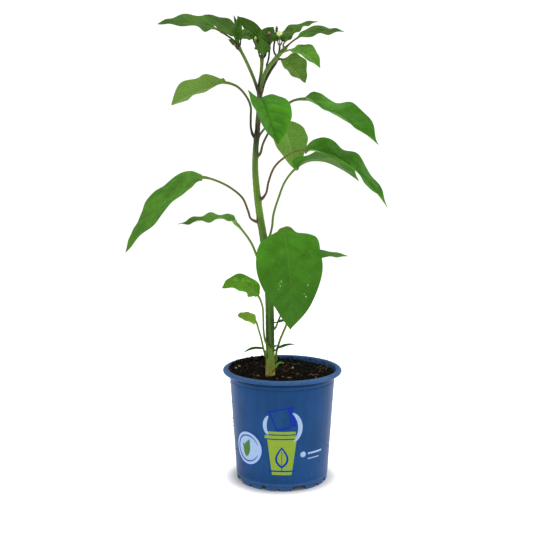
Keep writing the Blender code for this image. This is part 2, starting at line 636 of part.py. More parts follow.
def build_litter(compost):
    """Bits of bark and grit, each lying just clear of the compost."""
    graph = bpy.context.evaluated_depsgraph_get()
    ground = BVHTree.FromObject(compost, graph)
    for name, (x, y, length, thick, turn, colour) in LITTER.items():
        turn = math.radians(turn)
        along = np.array([math.cos(turn), math.sin(turn), 0.0])
        across = np.array([-along[1], along[0], 0.0])
        level = max(
            ground.ray_cast(Vector(((x + dx) * MM, (y + dy) * MM, 1.0)), Vector((0, 0, -1)))[0].z
            for dx in (-length / 2, 0, length / 2) for dy in (-length / 2, 0, length / 2)
        ) / MM
        middle = np.array([x, y, level + GAP])
        rings = []
        for lift, grow in ((0.0, 0.7), (0.35, 1.0), (0.7, 0.85), (1.0, 0.4)):
            ring = []
            for k in range(7):
                a = 2 * math.pi * k / 7
                lump = grow * (1.0 + 0.16 * math.sin(3.1 * k + length))
                ring.append(middle + along * 0.5 * length * lump * math.cos(a)
                            + across * 0.32 * length * lump * math.sin(a)
                            + np.array([0, 0, thick * lift]))
            rings.append(ring)
        add_object(name, *skin(rings), colour)


def build():
    """Builds the whole plant from the ground up."""
    for item in list(bpy.data.objects):
        bpy.data.objects.remove(item)
    shoots = Shoots()
    build_pot()
    compost = build_compost(shoots.curves["main_stem"])
    bpy.context.view_layer.update()
    build_litter(compost)
    for name in STEMS:
        shoots.stem(name)
    for name in LEAVES:
        shoots.leaf(name)
    for name in BUDS:
        shoots.bud(name)


build()
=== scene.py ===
"""Chilli pepper plant in a round nursery pot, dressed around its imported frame.

Sizes are written in millimetres and turned into metres by MM. The origin is on the ground
under the middle of the pot, +Z is up and -Y is the front.
"""

import logging
import math
from dataclasses import dataclass, field
from enum import Enum
from typing import Optional, Sequence, Union

import bpy
import numpy as np
from mathutils import Matrix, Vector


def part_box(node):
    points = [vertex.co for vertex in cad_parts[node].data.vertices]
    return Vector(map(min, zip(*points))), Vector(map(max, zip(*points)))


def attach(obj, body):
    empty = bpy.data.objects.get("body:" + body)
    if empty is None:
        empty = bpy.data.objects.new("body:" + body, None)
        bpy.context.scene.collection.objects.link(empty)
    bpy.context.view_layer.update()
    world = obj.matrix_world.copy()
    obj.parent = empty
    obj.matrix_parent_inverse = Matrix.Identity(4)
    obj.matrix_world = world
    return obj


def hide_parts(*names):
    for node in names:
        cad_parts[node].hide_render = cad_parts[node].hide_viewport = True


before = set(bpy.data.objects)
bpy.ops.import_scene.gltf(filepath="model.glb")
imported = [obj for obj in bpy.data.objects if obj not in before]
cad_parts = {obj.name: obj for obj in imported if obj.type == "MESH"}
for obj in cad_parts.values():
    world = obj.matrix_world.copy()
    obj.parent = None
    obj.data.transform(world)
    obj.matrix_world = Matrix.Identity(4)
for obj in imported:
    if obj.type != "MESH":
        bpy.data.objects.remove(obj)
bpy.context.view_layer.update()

LOG = logging.getLogger("chilli_plant")
MM = 0.001
GAP = 0.3

Colour = tuple[float, float, float]
Triple = tuple[float, float, float]
Array = np.ndarray
Edges = tuple[Array, Array]
Pair = tuple[float, float]


def tint(levels: Colour, gain: float = 1.0, lift: float = 0.0) -> Colour:
    """Turns a display colour into a scene colour.

    Args:
        levels: Red, green and blue from 0 to 255.
        gain: What the linear light is multiplied by.
        lift: What is then added to it.

    Returns:
        The colour as linear light, with no part over 1.
    """
    parts = (level / 255.0 for level in levels)
    light = (part / 12.92 if part <= 0.04045 else ((part + 0.055) / 1.055) ** 2.4
             for part in parts)
    return tuple(min(1.0, part * gain + lift) for part in light)


# ---------- shader graph


class Value:
    """A shader value: one output socket that takes part in Python sums."""

    def __init__(self, graph: "Graph", socket: bpy.types.NodeSocket) -> None:
        """Keeps the socket and the graph that it belongs to.

        Args:
            graph: The graph that new Math nodes go into.
            socket: The output socket that holds the value.
        """
        self.graph = graph
        self.socket = socket

    def __add__(self, other: "Number") -> "Value":
        """This value plus another."""
        return self.graph.math("ADD", self, other)

    def __radd__(self, other: "Number") -> "Value":
        """Another value plus this one."""
        return self.graph.math("ADD", other, self)

    def __sub__(self, other: "Number") -> "Value":
        """This value less another."""
        return self.graph.math("SUBTRACT", self, other)

    def __rsub__(self, other: "Number") -> "Value":
        """Another value less this one."""
        return self.graph.math("SUBTRACT", other, self)

    def __mul__(self, other: "Number") -> "Value":
        """This value times another."""
        return self.graph.math("MULTIPLY", self, other)

    def __rmul__(self, other: "Number") -> "Value":
        """Another value times this one."""
        return self.graph.math("MULTIPLY", other, self)

    def __truediv__(self, other: "Number") -> "Value":
        """This value over another."""
        return self.graph.math("DIVIDE", self, other)

    def __rtruediv__(self, other: "Number") -> "Value":
        """Another value over this one."""
        return self.graph.math("DIVIDE", other, self)

    def __pow__(self, other: "Number") -> "Value":
        """This value to a power."""
        return self.graph.math("POWER", self, other)

    def __rpow__(self, other: "Number") -> "Value":
        """Another value to the power of this one."""
        return self.graph.math("POWER", other, self)

    def __abs__(self) -> "Value":
        """The size of this value without its sign."""
        return self.graph.math("ABSOLUTE", self)


Number = Union[Value, float, int]


class Graph:
    """The node tree of one material around a single Principled shader."""

    def __init__(self, name: str) -> None:
        """Starts a material with a Principled shader and an output.

        Args:
            name: The material's name.
        """
        self.material = bpy.data.materials.new(name)
        self.material.use_nodes = True
        self.tree = self.material.node_tree
        self.tree.nodes.clear()
        self.shader = self.tree.nodes.new("ShaderNodeBsdfPrincipled")
        output = self.tree.nodes.new("ShaderNodeOutputMaterial")
        self.tree.links.new(self.shader.outputs["BSDF"], output.inputs["Surface"])

    def node(self, kind: str, settings: Optional[dict] = None,
             sockets: Optional[dict] = None, output: Union[str, int] = 0) -> Value:
        """Adds one node, sets it and links it.

        Args:
            kind: The node's Blender type.
            settings: Its own settings, with a ramp's stops under "stops".
            sockets: Values or links for its inputs, by name or number.
            output: The output that is returned, by name or number.

        Returns:
            The value at that output.
        """
        made = self.tree.nodes.new(kind)
        for key, setting in (settings or {}).items():
            if key == "stops":
                ramp = made.color_ramp
                while len(ramp.elements) < len(setting):
                    ramp.elements.new(1.0)
                for element, (place, colour) in zip(ramp.elements, setting):
                    element.position = place
                    element.color = (*colour, 1.0)
            else:
                setattr(made, key, setting)
        for key, entry in (sockets or {}).items():
            self.feed(made.inputs[key], entry)
        return Value(self, made.outputs[output])

    def feed(self, socket: bpy.types.NodeSocket, entry: Union[Number, Sequence[float]]) -> None:
        """Links a value to a socket, or sets a constant on it.

        Args:
            socket: The input socket.
            entry: A value of this graph, a number, a colour or a vector.
        """
        if isinstance(entry, Value):
            self.tree.links.new(entry.socket, socket)
        elif isinstance(entry, (int, float)):
            socket.default_value = entry
        elif socket.type == "RGBA":
            socket.default_value = (*entry, 1.0)
        else:
            socket.default_value = tuple(entry)

    def math(self, operation: str, *terms: Number) -> Value:
        """One Math node over the given terms."""
        return self.node("ShaderNodeMath", {"operation": operation}, dict(enumerate(terms)))

    def fade(self, value: Number, start: float, end: float) -> Value:
        """A smooth step on a value.

        Args:
            value: The value that is read.
            start: Where the step gives 0.
            end: Where the step gives 1, which may be below start.

        Returns:
            A value from 0 to 1.
        """
        if start < end:
            return self.node("ShaderNodeMapRange", {"interpolation_type": "SMOOTHSTEP"},
                             {"Value": value, "From Min": start, "From Max": end})
        return 1.0 - self.fade(value, end, start)

    def split(self, vector: Value) -> tuple[Value, Value, Value]:
        """Splits a vector.

        Args:
            vector: The vector.

        Returns:
            Its three parts.
        """
        first = self.node("ShaderNodeSeparateXYZ", None, {0: vector})
        outputs = first.socket.node.outputs
        return first, Value(self, outputs[1]), Value(self, outputs[2])

    def note(self, name: str) -> tuple[Value, Value, Value]:
        """The three parts of a note that the mesh holds at each point."""
        return self.split(self.node("ShaderNodeAttribute", {"attribute_name": name},
                                    output="Vector"))

    def place(self, stretch: Triple = (1.0, 1.0, 1.0)) -> Value:
        """The place on the piece in metres.

        Args:
            stretch: How much it is stretched along each axis.

        Returns:
            The stretched place.
        """
        here = self.node("ShaderNodeTexCoord", output="Object")
        if stretch == (1.0, 1.0, 1.0):
            return here
        return self.node("ShaderNodeVectorMath", {"operation": "MULTIPLY"}, {0: here, 1: stretch})

    def noise(self, size: float, detail: float = 2.0, stretch: Triple = (1.0, 1.0, 1.0),
              rough: float = 0.5) -> Value:
        """Soft noise whose blotches have a size in millimetres.

        Args:
            size: How far apart the blotches are.
            detail: How many finer layers the noise has.
            stretch: How the place is stretched first.
            rough: How strong the finer layers are.

        Returns:
            A value around one half.
        """
        return self.node("ShaderNodeTexNoise", None, {
            "Vector": self.place(stretch), "Scale": 1.0 / (size * MM), "Detail": detail,
            "Roughness": rough})

    def cells(self, size: float, feature: str = "F1", stretch: Triple = (1.0, 1.0, 1.0),
              output: str = "Distance") -> Value:
        """Cells that are a size in millimetres apart.

        Args:
            size: How far apart the cells are.
            feature: Which measure the cells give.
            stretch: How the place is stretched first.
            output: The output that is read.

        Returns:
            The chosen output.
        """
        return self.node("ShaderNodeTexVoronoi", {"feature": feature}, {
            "Vector": self.place(stretch), "Scale": 1.0 / (size * MM)}, output)

    def mix(self, share: Number, first: Union[Value, Colour],
            second: Union[Value, Colour]) -> Value:
        """A colour between two colours.

        Args:
            share: How much of the second there is, from 0 to 1.
            first: The colour at 0.
            second: The colour at 1.

        Returns:
            The mixed colour.
        """
        return self.node("ShaderNodeMix", {"data_type": "RGBA"},
                         {0: share, 6: first, 7: second}, 2)

    def bump(self, height: Value, depth: float, strength: float = 1.0) -> None:
        """Feeds the shader's Normal from a height.

        Args:
            height: The height, about from 0 to 1.
            depth: How deep a height of 1 is, in millimetres.
            strength: How much of the effect shows.
        """
        normal = self.node("ShaderNodeBump", None, {
            "Height": height, "Distance": depth * MM, "Strength": strength})
        self.feed(self.shader.inputs["Normal"], normal)

    def dress(self, **sockets: Union[Number, Sequence[float]]) -> None:
        """Feeds the shader's own sockets, with _ for the spaces in their names."""
        for name, entry in sockets.items():
            self.feed(self.shader.inputs[name.replace("_", " ")], entry)


@dataclass(frozen=True)
class Finish:
    """A finish that makes its material once, under its name."""

    name: str

    def paint(self, graph: Graph) -> None:
        """Adds the finish's nodes; each kind of finish has its own."""
        raise NotImplementedError

    def material(self) -> bpy.types.Material:
        """The finish's material, made on first use.

        Returns:
            The material.
        """
        known = bpy.data.materials.get(self.name)
        if known:
            return known
        graph = Graph(self.name)
        self.paint(graph)
        return graph.material


# ---------- finishes


@dataclass(frozen=True)
class LeafFinish(Finish):
    """A pepper leaf: satin above and paler below, with its veins, and its stalk.

    Attributes:
        upper: Colour of the upper face.
        under: Colour of the under face.
        vein: Colour of the veins on the upper face.
        stalk_foot: Colour of the stalk at its host.
        stalk_end: Colour of the stalk at the blade.
        blush: Colour of the stalk's shaded side.
        patches: How much lighter patches show on the upper face.
        fall: How much the upper face darkens toward its tip, as painted shade.
        shadow: How much darker one half is.
        gloss: Roughness of the upper face.
        shine: How strongly it mirrors.
    """

    upper: Colour
    under: Colour
    vein: Colour
    stalk_foot: Colour
    stalk_end: Colour
    blush: Colour
    patches: float = 0.2
    gloss: float = 0.42
    shine: float = 0.14
    fall: float = 0.2
    shadow: float = 0

    def paint(self, graph: Graph) -> None:
        """Adds the leaf's nodes.

        Args:
            graph: The material's graph.
        """
        across, phase, spacing = graph.note("blade")
        side, along, reach = graph.note("limb")
        turn = phase + graph.fade(across, -0.001, 0.001) * 0.45
        turn = graph.math("FRACT", turn + 8)
        branch = abs(turn - 0.5) * spacing
        edge_fade = 1 - abs(across) ** 3
        rib = graph.fade(abs(reach), 0.8, 0.2) * (0.85 - graph.fade(along, 5, 12) * 0.5)
        ribs = graph.fade(branch, 0.75, 0.12) * edge_fade
        web = graph.fade(graph.cells(3.6, "DISTANCE_TO_EDGE"), 0.09, 0)
        fine = graph.fade(graph.cells(1.5, "DISTANCE_TO_EDGE"), 0.12, 0)
        vein_groove_shade = graph.fade(branch, 2.6, 0.4) * edge_fade
        veins = graph.math("MAXIMUM", graph.math("MAXIMUM", rib, ribs * 0.7),
                           web * 0.26 + fine * 0.08)
        tone = graph.noise(26, 3)
        grain = graph.noise(2.2, 3)
        light = tint(self.upper, 1.28, 0.004)
        dark = tint(self.upper, 0.76)
        upper = graph.mix(graph.fade(tone, 0.36, 0.66), dark, light)
        upper = graph.mix(graph.fade(grain, 0.3, 0.7) * 0.4, upper, tint(self.upper))
        upper = graph.mix(graph.fade(graph.noise(8, 2), 0.52, 0.66) * self.patches, upper,
                          tint(self.upper, 1.7, 0.01))
        # Painted shade: darker along the sunk veins, toward the tip and on one half.
        upper = graph.mix(vein_groove_shade * 0.3 + graph.fade(along, 4, 14) * self.fall
                          + graph.fade(across, -0.02, 0.02) * self.shadow, upper,
                          tint(self.upper, 0.55))
        upper = graph.mix(veins * 0.34, upper, tint(self.vein))
        pale = tint(self.under, 1.45, 0.02)
        under = graph.mix(graph.fade(tone, 0.35, 0.68) * 0.6, tint(self.under),
                          tint(self.under, 0.8))
        # Painted shade along the veins on the under face.
        under = graph.mix(vein_groove_shade * 0.35, under, tint(self.under, 0.6))
        under = graph.mix(veins * 0.8, under, pale)
        blade = graph.mix(graph.fade(side, -0.3, 0.3), under, upper)
        stalk = graph.mix(graph.fade(along, 0.1, 0.95), tint(self.stalk_foot),
                          tint(self.stalk_end))
        flush = graph.fade(side, 0.1, 0.9) * graph.fade(along, 1.3, 0.3) * 0.75
        streaks = graph.noise(2.4, 2)
        stalk = graph.mix(flush * graph.fade(streaks, 0.25, 0.6), stalk, tint(self.blush))
        graph.dress(
            Base_Color=graph.mix(graph.fade(along, 1.05, 1.9), stalk, blade),
            Roughness=self.gloss + (1 - graph.fade(side, -0.3, 0.3)) * 0.16
            + graph.fade(tone, 0.3, 0.7) * 0.07 + veins * 0.06,
            Specular_IOR_Level=self.shine)
        graph.bump((1 - veins) * 0.7 + grain * 0.3, 0.22, 0.9)


@dataclass(frozen=True)
class StemFinish(Finish):
    """A ribbed green shoot whose colour changes with height.

    Attributes:
        stops: Heights in millimetres with the colour at each.
        blush: Colour of the joints where stalks leave.
        streak: Colour of the long dark streaks.
        streaks: How strongly the streaks show.
        stripes_from: Height above which near black stripes show.
    """

    stops: tuple[tuple[float, Colour], ...]
    blush: Colour
    streak: Colour
    streaks: float = 0.45
    stripes_from: float = 1000

    def paint(self, graph: Graph) -> None:
        """Adds the shoot's nodes.

        Args:
            graph: The material's graph.
        """
        height, joint, ridge = graph.note("bark")
        low, high = self.stops[0][0], self.stops[-1][0]
        span = high - low
        wander = (graph.noise(9, 3) - 0.5) * (14 / span)
        stops = [((level - low) / span, tint(colour)) for level, colour in self.stops]
        body = graph.node("ShaderNodeValToRGB", {"stops": stops},
                          {0: (height - low) / span + wander}, "Color")
        lines = graph.noise(1.5, 3, (1, 1, 0.06))
        stripes = graph.fade(lines, 0.42, 0.55) * graph.fade(
            height, self.stripes_from, self.stripes_from + 28) * 0.8
        wide = graph.noise(4.5, 2, (1, 1, 0.05))
        body = graph.mix(graph.fade(lines, 0.45, 0.7) * self.streaks, body, tint(self.streak))
        body = graph.mix(graph.fade(ridge, 0.2, 1) * 0.35 + graph.fade(wide, 0.5, 0.75) * 0.25,
                         body, graph.mix(0.5, body, tint((150, 178, 96))))
        body = graph.mix(stripes, body, tint(self.blush, 0.3))
        worn = graph.fade(graph.noise(2, 2), 0.3, 0.55)
        body = graph.mix(joint * worn, body, tint(self.blush))
        graph.dress(Base_Color=body, Roughness=0.5 + lines * 0.2, Specular_IOR_Level=0.16)
        graph.bump(lines * 0.6 + graph.noise(0.8, 2) * 0.4, 0.14, 0.8)


@dataclass(frozen=True)
class PotFinish(Finish):
    """Satin moulded plastic with faint flow marks, dust, rubbed edges, a painted highlight along
    the top of the lip and painted shade under the lip.
    """

    body: Colour
    # worn is the lighter plastic of rubbed edges, also laid as a painted highlight along the top
    # of the lip.
    worn: Colour
    dust: Colour
    soil: Colour

    def paint(self, graph: Graph) -> None:
        """Adds the pot's nodes.

        Args:
            graph: The material's graph.
        """
        rub_and_highlight, inside, under_lip_shade = graph.note("mould")
        flow = graph.noise(7, 3, (1, 1, 0.12))
        cloud = graph.noise(34, 3)
        specks = graph.fade(graph.cells(5.2), 0.085, 0.05) * graph.fade(cloud, 0.42, 0.6)
        grit = graph.fade(graph.cells(8.6), 0.05, 0.03)
        scuff = graph.noise(1.1, 4, (1, 1, 0.5), 0.7)
        dark = tint(self.body, 0.86)
        light = tint(self.body, 1.14)
        colour = graph.mix(graph.fade(cloud * 0.6 + flow * 0.4, 0.36, 0.64), dark, light)
        # Lighter plastic: real rubbing on the foot's edges, and a painted highlight along the top
        # of the lip.
        colour = graph.mix(rub_and_highlight * graph.fade(scuff, 0.2, 0.7), colour, tint(self.worn))
        colour = graph.mix(specks * 0.4, colour, tint(self.dust))
        colour = graph.mix(grit * 0.75, colour, tint(self.soil))
        colour = graph.mix(inside * graph.fade(graph.noise(3, 4), 0.45, 0.62) * 0.8,
                           colour, tint(self.soil))
        # Near black plastic: painted shade under the lip.
        colour = graph.mix(under_lip_shade * 0.85, colour, tint(self.body, 0.12))
        graph.dress(Base_Color=colour,
                    Roughness=0.34 + graph.fade(scuff, 0.3, 0.8) * 0.12 + specks * 0.25,
                    Specular_IOR_Level=0.09)
        graph.bump(flow * 0.5 + scuff * 0.2 + specks * 0.8, 0.12, 0.5)


@dataclass(frozen=True)
class InkFinish(Finish):
    """Printed ink, thin in places where the plastic under it shows through."""

    ink: Colour
    base: Colour

    def paint(self, graph: Graph) -> None:
        """Adds the ink's nodes.

        Args:
            graph: The material's graph.
        """
        thin = graph.fade(graph.noise(0.9, 3), 0.56, 0.74) * 0.45
        patch = graph.noise(6, 2)
        colour = graph.mix(thin, tint(self.ink), tint(self.base))
        colour = graph.mix(graph.fade(patch, 0.4, 0.7) * 0.25, colour, tint(self.ink, 0.8))
        graph.dress(Base_Color=colour, Roughness=0.38 + patch * 0.12, Specular_IOR_Level=0.1)
        graph.bump(patch, 0.03, 0.5)


@dataclass(frozen=True)
class CompostFinish(Finish):
    """Moist potting compost: near black, with browner crumbs and rusty fibres."""

    dark: Colour
    brown: Colour
    rust: Colour

    def paint(self, graph: Graph) -> None:
        """Adds the compost's nodes.

        Args:
            graph: The material's graph.
        """
        dry, bright, _ = graph.note("crumb")
        fines = graph.noise(0.9, 4, rough=0.7)
        clods = graph.noise(5, 3)
        colour = graph.mix(graph.fade(fines + dry * 0.3, 0.6, 1), tint(self.dark),
                           tint(self.brown))
        colour = graph.mix(graph.fade(dry, 0.82, 0.97) * 0.8, colour, tint(self.rust))
        colour = graph.mix(bright, colour, tint((176, 150, 96)))
        graph.dress(Base_Color=colour, Roughness=0.78 + graph.fade(clods, 0.3, 0.7) * 0.18,
                    Specular_IOR_Level=0.1)
        graph.bump(fines * 0.7 + clods * 0.3, 0.5)


@dataclass(frozen=True)
class BudFinish(Finish):
    """A flower bud: its petals, its green cup and the foot of its stalk."""

    petal: Colour
    cup: Colour
    stalk: Colour

    def paint(self, graph: Graph) -> None:
        """Adds the bud's nodes.

        Args:
            graph: The material's graph.
        """
        share, fold, _ = graph.note("bud")
        grain = graph.noise(0.8, 3)
        green = graph.mix(graph.fade(share, 0.2, 0.95), tint(self.stalk), tint(self.cup))
        # Darker petal colour in the creases between petals: painted shade.
        petal = graph.mix(fold * 0.45, tint(self.petal), tint(self.petal, 0.62))
        petal = graph.mix(graph.fade(share, 1.55, 1.15) * 0.5, petal, tint(self.cup))
        colour = graph.mix(graph.fade(share, 1.12, 1.2), green, petal)
        graph.dress(Base_Color=colour, Roughness=0.42 + grain * 0.18, Specular_IOR_Level=0.3)
        graph.bump(grain, 0.08, 0.6)


@dataclass(frozen=True)
class ChipFinish(Finish):
    """A bit of bark, grit or seed whose blotches have a size in millimetres."""

    body: Colour
    pit: Colour
    size: float = 1.4

    def paint(self, graph: Graph) -> None:
        """Adds the chip's nodes.

        Args:
            graph: The material's graph.
        """
        layers = graph.noise(self.size, 4, (1, 1, 2.5), 0.65)
        pores = graph.cells(0.6)
        colour = graph.mix(graph.fade(layers, 0.35, 0.62), tint(self.pit), tint(self.body))
        graph.dress(Base_Color=colour, Roughness=0.7 + pores * 0.2, Specular_IOR_Level=0.2)
        graph.bump(layers * 0.7 + pores * 0.3, 0.25)


@dataclass(frozen=True)
class DewFinish(Finish):
    """A bead of water on a leaf, painted opaque in the leaf's green, with lighter patches as
    painted light through the water.
    """

    green: Colour

    def paint(self, graph: Graph) -> None:
        """Adds the bead's nodes.

        Args:
            graph: The material's graph.
        """
        rim = graph.noise(0.7, 1)
        # The lighter green is painted light: it stands in for light passing through the clear
        # water.
        colour = graph.mix(graph.fade(rim, 0.3, 0.7), tint(self.green),
                           tint(self.green, 1.9, 0.03))
        graph.dress(Base_Color=colour, Roughness=0.03 + rim * 0.02, Specular_IOR_Level=0.9)
        graph.bump(rim, 0.01, 0.2)


@dataclass(frozen=True)
class FloorFinish(Finish):
    """The plain pale floor, which glows a little away from the pot.

    It doesn't glow inside the shaded radius and glows in full from the clear one, in metres.
    """

    paper: Colour
    glow: float = 0.7
    shaded: float = 0.045
    clear: float = 0.064

    def paint(self, graph: Graph) -> None:
        """Adds the floor's nodes.

        Args:
            graph: The material's graph.
        """
        fibre = graph.noise(3, 2)
        away = graph.node("ShaderNodeVectorMath", {"operation": "LENGTH"},
                          {0: graph.place()}, "Value")
        graph.dress(Base_Color=graph.mix(fibre * 0.02, self.paper, (0.9, 0.9, 0.9)),
                    Roughness=0.9, Specular_IOR_Level=0.05,
                    Emission_Color=graph.mix(graph.fade(away, self.shaded, self.clear),
                                             (0, 0, 0), (1, 1, 1)),
                    Emission_Strength=self.glow)


GREEN_VEIN = (112, 158, 66)
PLUM = (74, 44, 50)


class LeafTone(Enum):
    """The leaf finishes, by where on the plant they grow."""

    MID = LeafFinish("leaf_mid", (62, 122, 18), (106, 142, 60), GREEN_VEIN, (96, 126, 46),
        (104, 138, 50), (110, 132, 54))
    FRONT = LeafFinish("leaf_front", (62, 124, 16), (110, 146, 64), GREEN_VEIN, (86, 74, 58),
        (100, 128, 50), PLUM, 0.2, 0.44, 0.12, 0.75)
    # Its dark vein colour is painted shade in the creases of the folded blade; its last value
    # darkens one half as painted shade.
    FOLDED = LeafFinish("leaf_folded", (70, 140, 18), (104, 148, 56), (34, 74, 14), (80, 84, 50),
        (88, 118, 50), (66, 58, 46), 0.15, 0.44, 0.12, 0.2, 0.45)
    SMALL = LeafFinish("leaf_small_light", (86, 140, 38), (110, 150, 66), (126, 170, 76),
        (96, 126, 46), (104, 138, 50), (104, 128, 52), 0.2, 0.44, 0.1)
    # Its darker under face is painted shade on the shaded fold of the rear right leaf.
    REAR = LeafFinish("leaf_rear", (62, 120, 20), (74, 110, 36), GREEN_VEIN, (96, 126, 46),
        (104, 138, 50), (110, 132, 54), 0.2, 0.44, 0.1)
    UPPER = LeafFinish("leaf_upper", (62, 126, 16), (104, 148, 56), GREEN_VEIN, (92, 96, 56),
        (88, 118, 50), (78, 70, 50), 0.2, 0.44, 0.1, 0.45)
    PALE = LeafFinish("leaf_pale_under", (88, 132, 46), (98, 134, 52), (124, 160, 78),
        (62, 50, 44), (98, 116, 50), (56, 40, 40), 0.3, 0.5, 0.1)
    LONG = LeafFinish("leaf_long", (70, 124, 26), (110, 146, 60), GREEN_VEIN, (108, 92, 62),
        (104, 134, 52), (100, 82, 56), 0.3, 0.46, 0.1)
    BLUSH = LeafFinish("leaf_blush_stalk", (64, 126, 18), (108, 146, 60), GREEN_VEIN,
        (100, 78, 56), (104, 122, 56), (94, 58, 48), 0.25, 0.44, 0.1)
    CROWN = LeafFinish("leaf_crown", (60, 98, 22), (88, 124, 44), GREEN_VEIN, (70, 72, 44),
        (84, 104, 44), (58, 46, 42), 0.35, 0.5, 0.06)
    YOUNG = LeafFinish("leaf_young", (58, 96, 22), (62, 98, 28), GREEN_VEIN, (46, 40, 36),
        (68, 86, 38), (40, 28, 32), 0.4, 0.46, 0.08)
    YELLOW = LeafFinish("leaf_yellow_green", (84, 142, 24), (118, 162, 50), (150, 196, 70),
        (98, 122, 46), (104, 140, 46), (104, 118, 52), 0.8, 0.4, 0.1)
    LIME = LeafFinish("leaf_lime", (122, 168, 48), (132, 172, 62), (160, 204, 84), (98, 126, 44),
        (112, 150, 48), (98, 126, 44), 0.3, 0.42, 0.1)
    SEED = LeafFinish("leaf_seed", (48, 92, 32), (68, 106, 48), (80, 120, 56), (70, 102, 38),
        (56, 92, 34), (62, 88, 36), 0.2, 0.46, 0.1)


class StemTone(Enum):
    """The stem finishes."""

    MAIN = StemFinish("stem_main", ((100, (190, 160, 82)), (110, (190, 174, 82)),
        (118, (146, 152, 64)), (130, (112, 150, 52)), (141, (46, 82, 22)), (162, (40, 76, 16)),
        (186, (74, 122, 34)), (244, (74, 112, 28)), (272, (96, 138, 40)), (306, (90, 124, 36)),
        (324, (80, 112, 44)), (338, (58, 72, 36)), (350, (50, 48, 38)), (368, (86, 90, 58)),
        (378, (92, 94, 60)), (384, (70, 58, 48)), (392, (42, 28, 32))), (70, 36, 44),
        (54, 62, 32), 0.4, 320)
    LEFT = StemFinish("stem_left", ((380, (40, 26, 32)), (393, (50, 40, 36)),
        (402, (82, 104, 44)), (414, (92, 124, 46)), (434, (74, 84, 44))), (52, 36, 42),
        (60, 56, 44), 0.4)
    FRONT = StemFinish("stem_front", ((380, (44, 32, 34)), (391, (72, 72, 48)),
        (400, (88, 116, 46)), (420, (98, 128, 52)), (434, (92, 118, 50))), (54, 38, 44),
        (66, 64, 46), 0.45)
    DARK = StemFinish("stem_dark", ((380, (38, 24, 30)), (394, (36, 28, 30)), (408, (50, 44, 38)),
        (426, (56, 54, 40)), (440, (70, 82, 44))), (48, 34, 42), (38, 30, 36), 0.6)


POT_BLUE = (20, 66, 116)
# The second colour is rubbed plastic, also used as the painted highlight along the top of the lip.
POT_FINISH = PotFinish("pot_blue_plastic", POT_BLUE, (82, 120, 168), (150, 164, 180), (34, 26, 22))
COMPOST_FINISH = CompostFinish("compost_moist", (8, 6, 5), (28, 20, 15), (92, 62, 42))
FLOOR_FINISH = FloorFinish("floor_paper", (0.85, 0.85, 0.85))


class Ink(Enum):
    """The inks of the plain print on the pot."""

    LIME = InkFinish("ink_lime", (136, 164, 48), POT_BLUE)
    SKY = InkFinish("ink_sky", (158, 184, 220), POT_BLUE)
    NAVY = InkFinish("ink_navy", (4, 46, 150), POT_BLUE)
    LEAF = InkFinish("ink_leaf", (70, 118, 52), POT_BLUE)


class Chip(Enum):
    """The finishes of the bits on the compost."""

    BARK = ChipFinish("chip_bark", (136, 104, 62), (60, 38, 22))
    RED_BARK = ChipFinish("chip_red_bark", (122, 74, 42), (56, 30, 20))
    GRIT = ChipFinish("chip_grit", (168, 152, 122), (96, 82, 60), 0.9)
    SEED = ChipFinish("chip_seed", (156, 158, 72), (112, 110, 50), 1.8)


class BudTone(Enum):
    """The bud finishes."""

    CREAM = BudFinish("bud_cream", (226, 234, 158), (96, 130, 56), (70, 84, 44))
    GREEN = BudFinish("bud_green", (196, 206, 128), (100, 132, 60), (76, 92, 48))
    OLIVE = BudFinish("bud_olive", (140, 128, 76), (60, 56, 42), (34, 24, 28))


DEW = DewFinish("dew_bead", (90, 150, 50))


# ---------- mesh tools


def unit(vector: Sequence[float]) -> Array:
    """The vector at length one."""
    vector = np.asarray(vector, float)
    return vector / np.linalg.norm(vector)


def square_to(vector: Sequence[float], axis: Array) -> Array:
    """The part of a vector at right angles to an axis, at length one."""
    vector = np.asarray(vector, float)
    return unit(vector - np.dot(vector, axis) * axis)


def ease(values: Array, start: float, end: float) -> Array:
    """A smooth step from 0 at start to 1 at end."""
    share = np.clip((values - start) / (end - start), 0.0, 1.0)
    return share * share * (3.0 - 2.0 * share)


def hump(values: Array, width: float) -> Array:
    """A round bump of height one and the given width at zero."""
    return np.exp(-((values / width) ** 2))


def round_turns(count: int) -> Array:
    """Even angles round a circle, in radians."""
    return np.arange(count) * 2 * math.pi / count


def spokes(turns: Array, rise: Array, across: Array) -> Array:
    """The ways out of a curve at each of its rings and each angle."""
    return (np.cos(turns)[None, :, None] * rise[:, None, :]
            + np.sin(turns)[None, :, None] * across[:, None, :])


@dataclass
class Shell:
    """One closed surface in millimetres, with notes for its finish.

    A note is three numbers for each point; the slot is the finish that the shell wears.
    """

    points: Array
    faces: list
    notes: dict = field(default_factory=dict)
    slot: int = 0

    def outward(self) -> "Shell":
        """Turns the faces so that they all look out.

        Returns:
            This shell.
        """
        volume = 0.0
        for face in self.faces:
            corners = self.points[list(face)]
            for k in range(1, len(face) - 1):
                volume += np.dot(corners[0], np.cross(corners[k], corners[k + 1]))
        if volume < 0:
            self.faces = [tuple(reversed(face)) for face in self.faces]
        return self


def loft(rings: Array, notes: Optional[dict] = None,
         tip: Optional[Array] = None, slot: int = 0) -> Shell:
    """A closed skin over rings of points.

    Args:
        rings: Points of each ring, as rings by points by three.
        notes: Notes of the same shape.
        tip: A last point that closes the end, or None for a flat end.
        slot: Which finish it wears.

    Returns:
        The shell.
    """
    count, around = rings.shape[:2]
    points = rings.reshape(-1, 3)
    held = {name: np.asarray(note, float).reshape(-1, 3) for name, note in (notes or {}).items()}
    faces = []
    for row in range(count - 1):
        a = row * around
        for k in range(around):
            after = (k + 1) % around
            faces.append((a + k, a + after, a + around + after, a + around + k))
    faces.append(tuple(reversed(range(around))))
    last = (count - 1) * around
    if tip is None:
        faces.append(tuple(range(last, last + around)))
    else:
        points = np.vstack([points, tip])
        held = {name: np.vstack([note, note[-around:].mean(0)]) for name, note in held.items()}
        faces += [(last + k, last + (k + 1) % around, len(points) - 1) for k in range(around)]
    return Shell(points, faces, held, slot).outward()


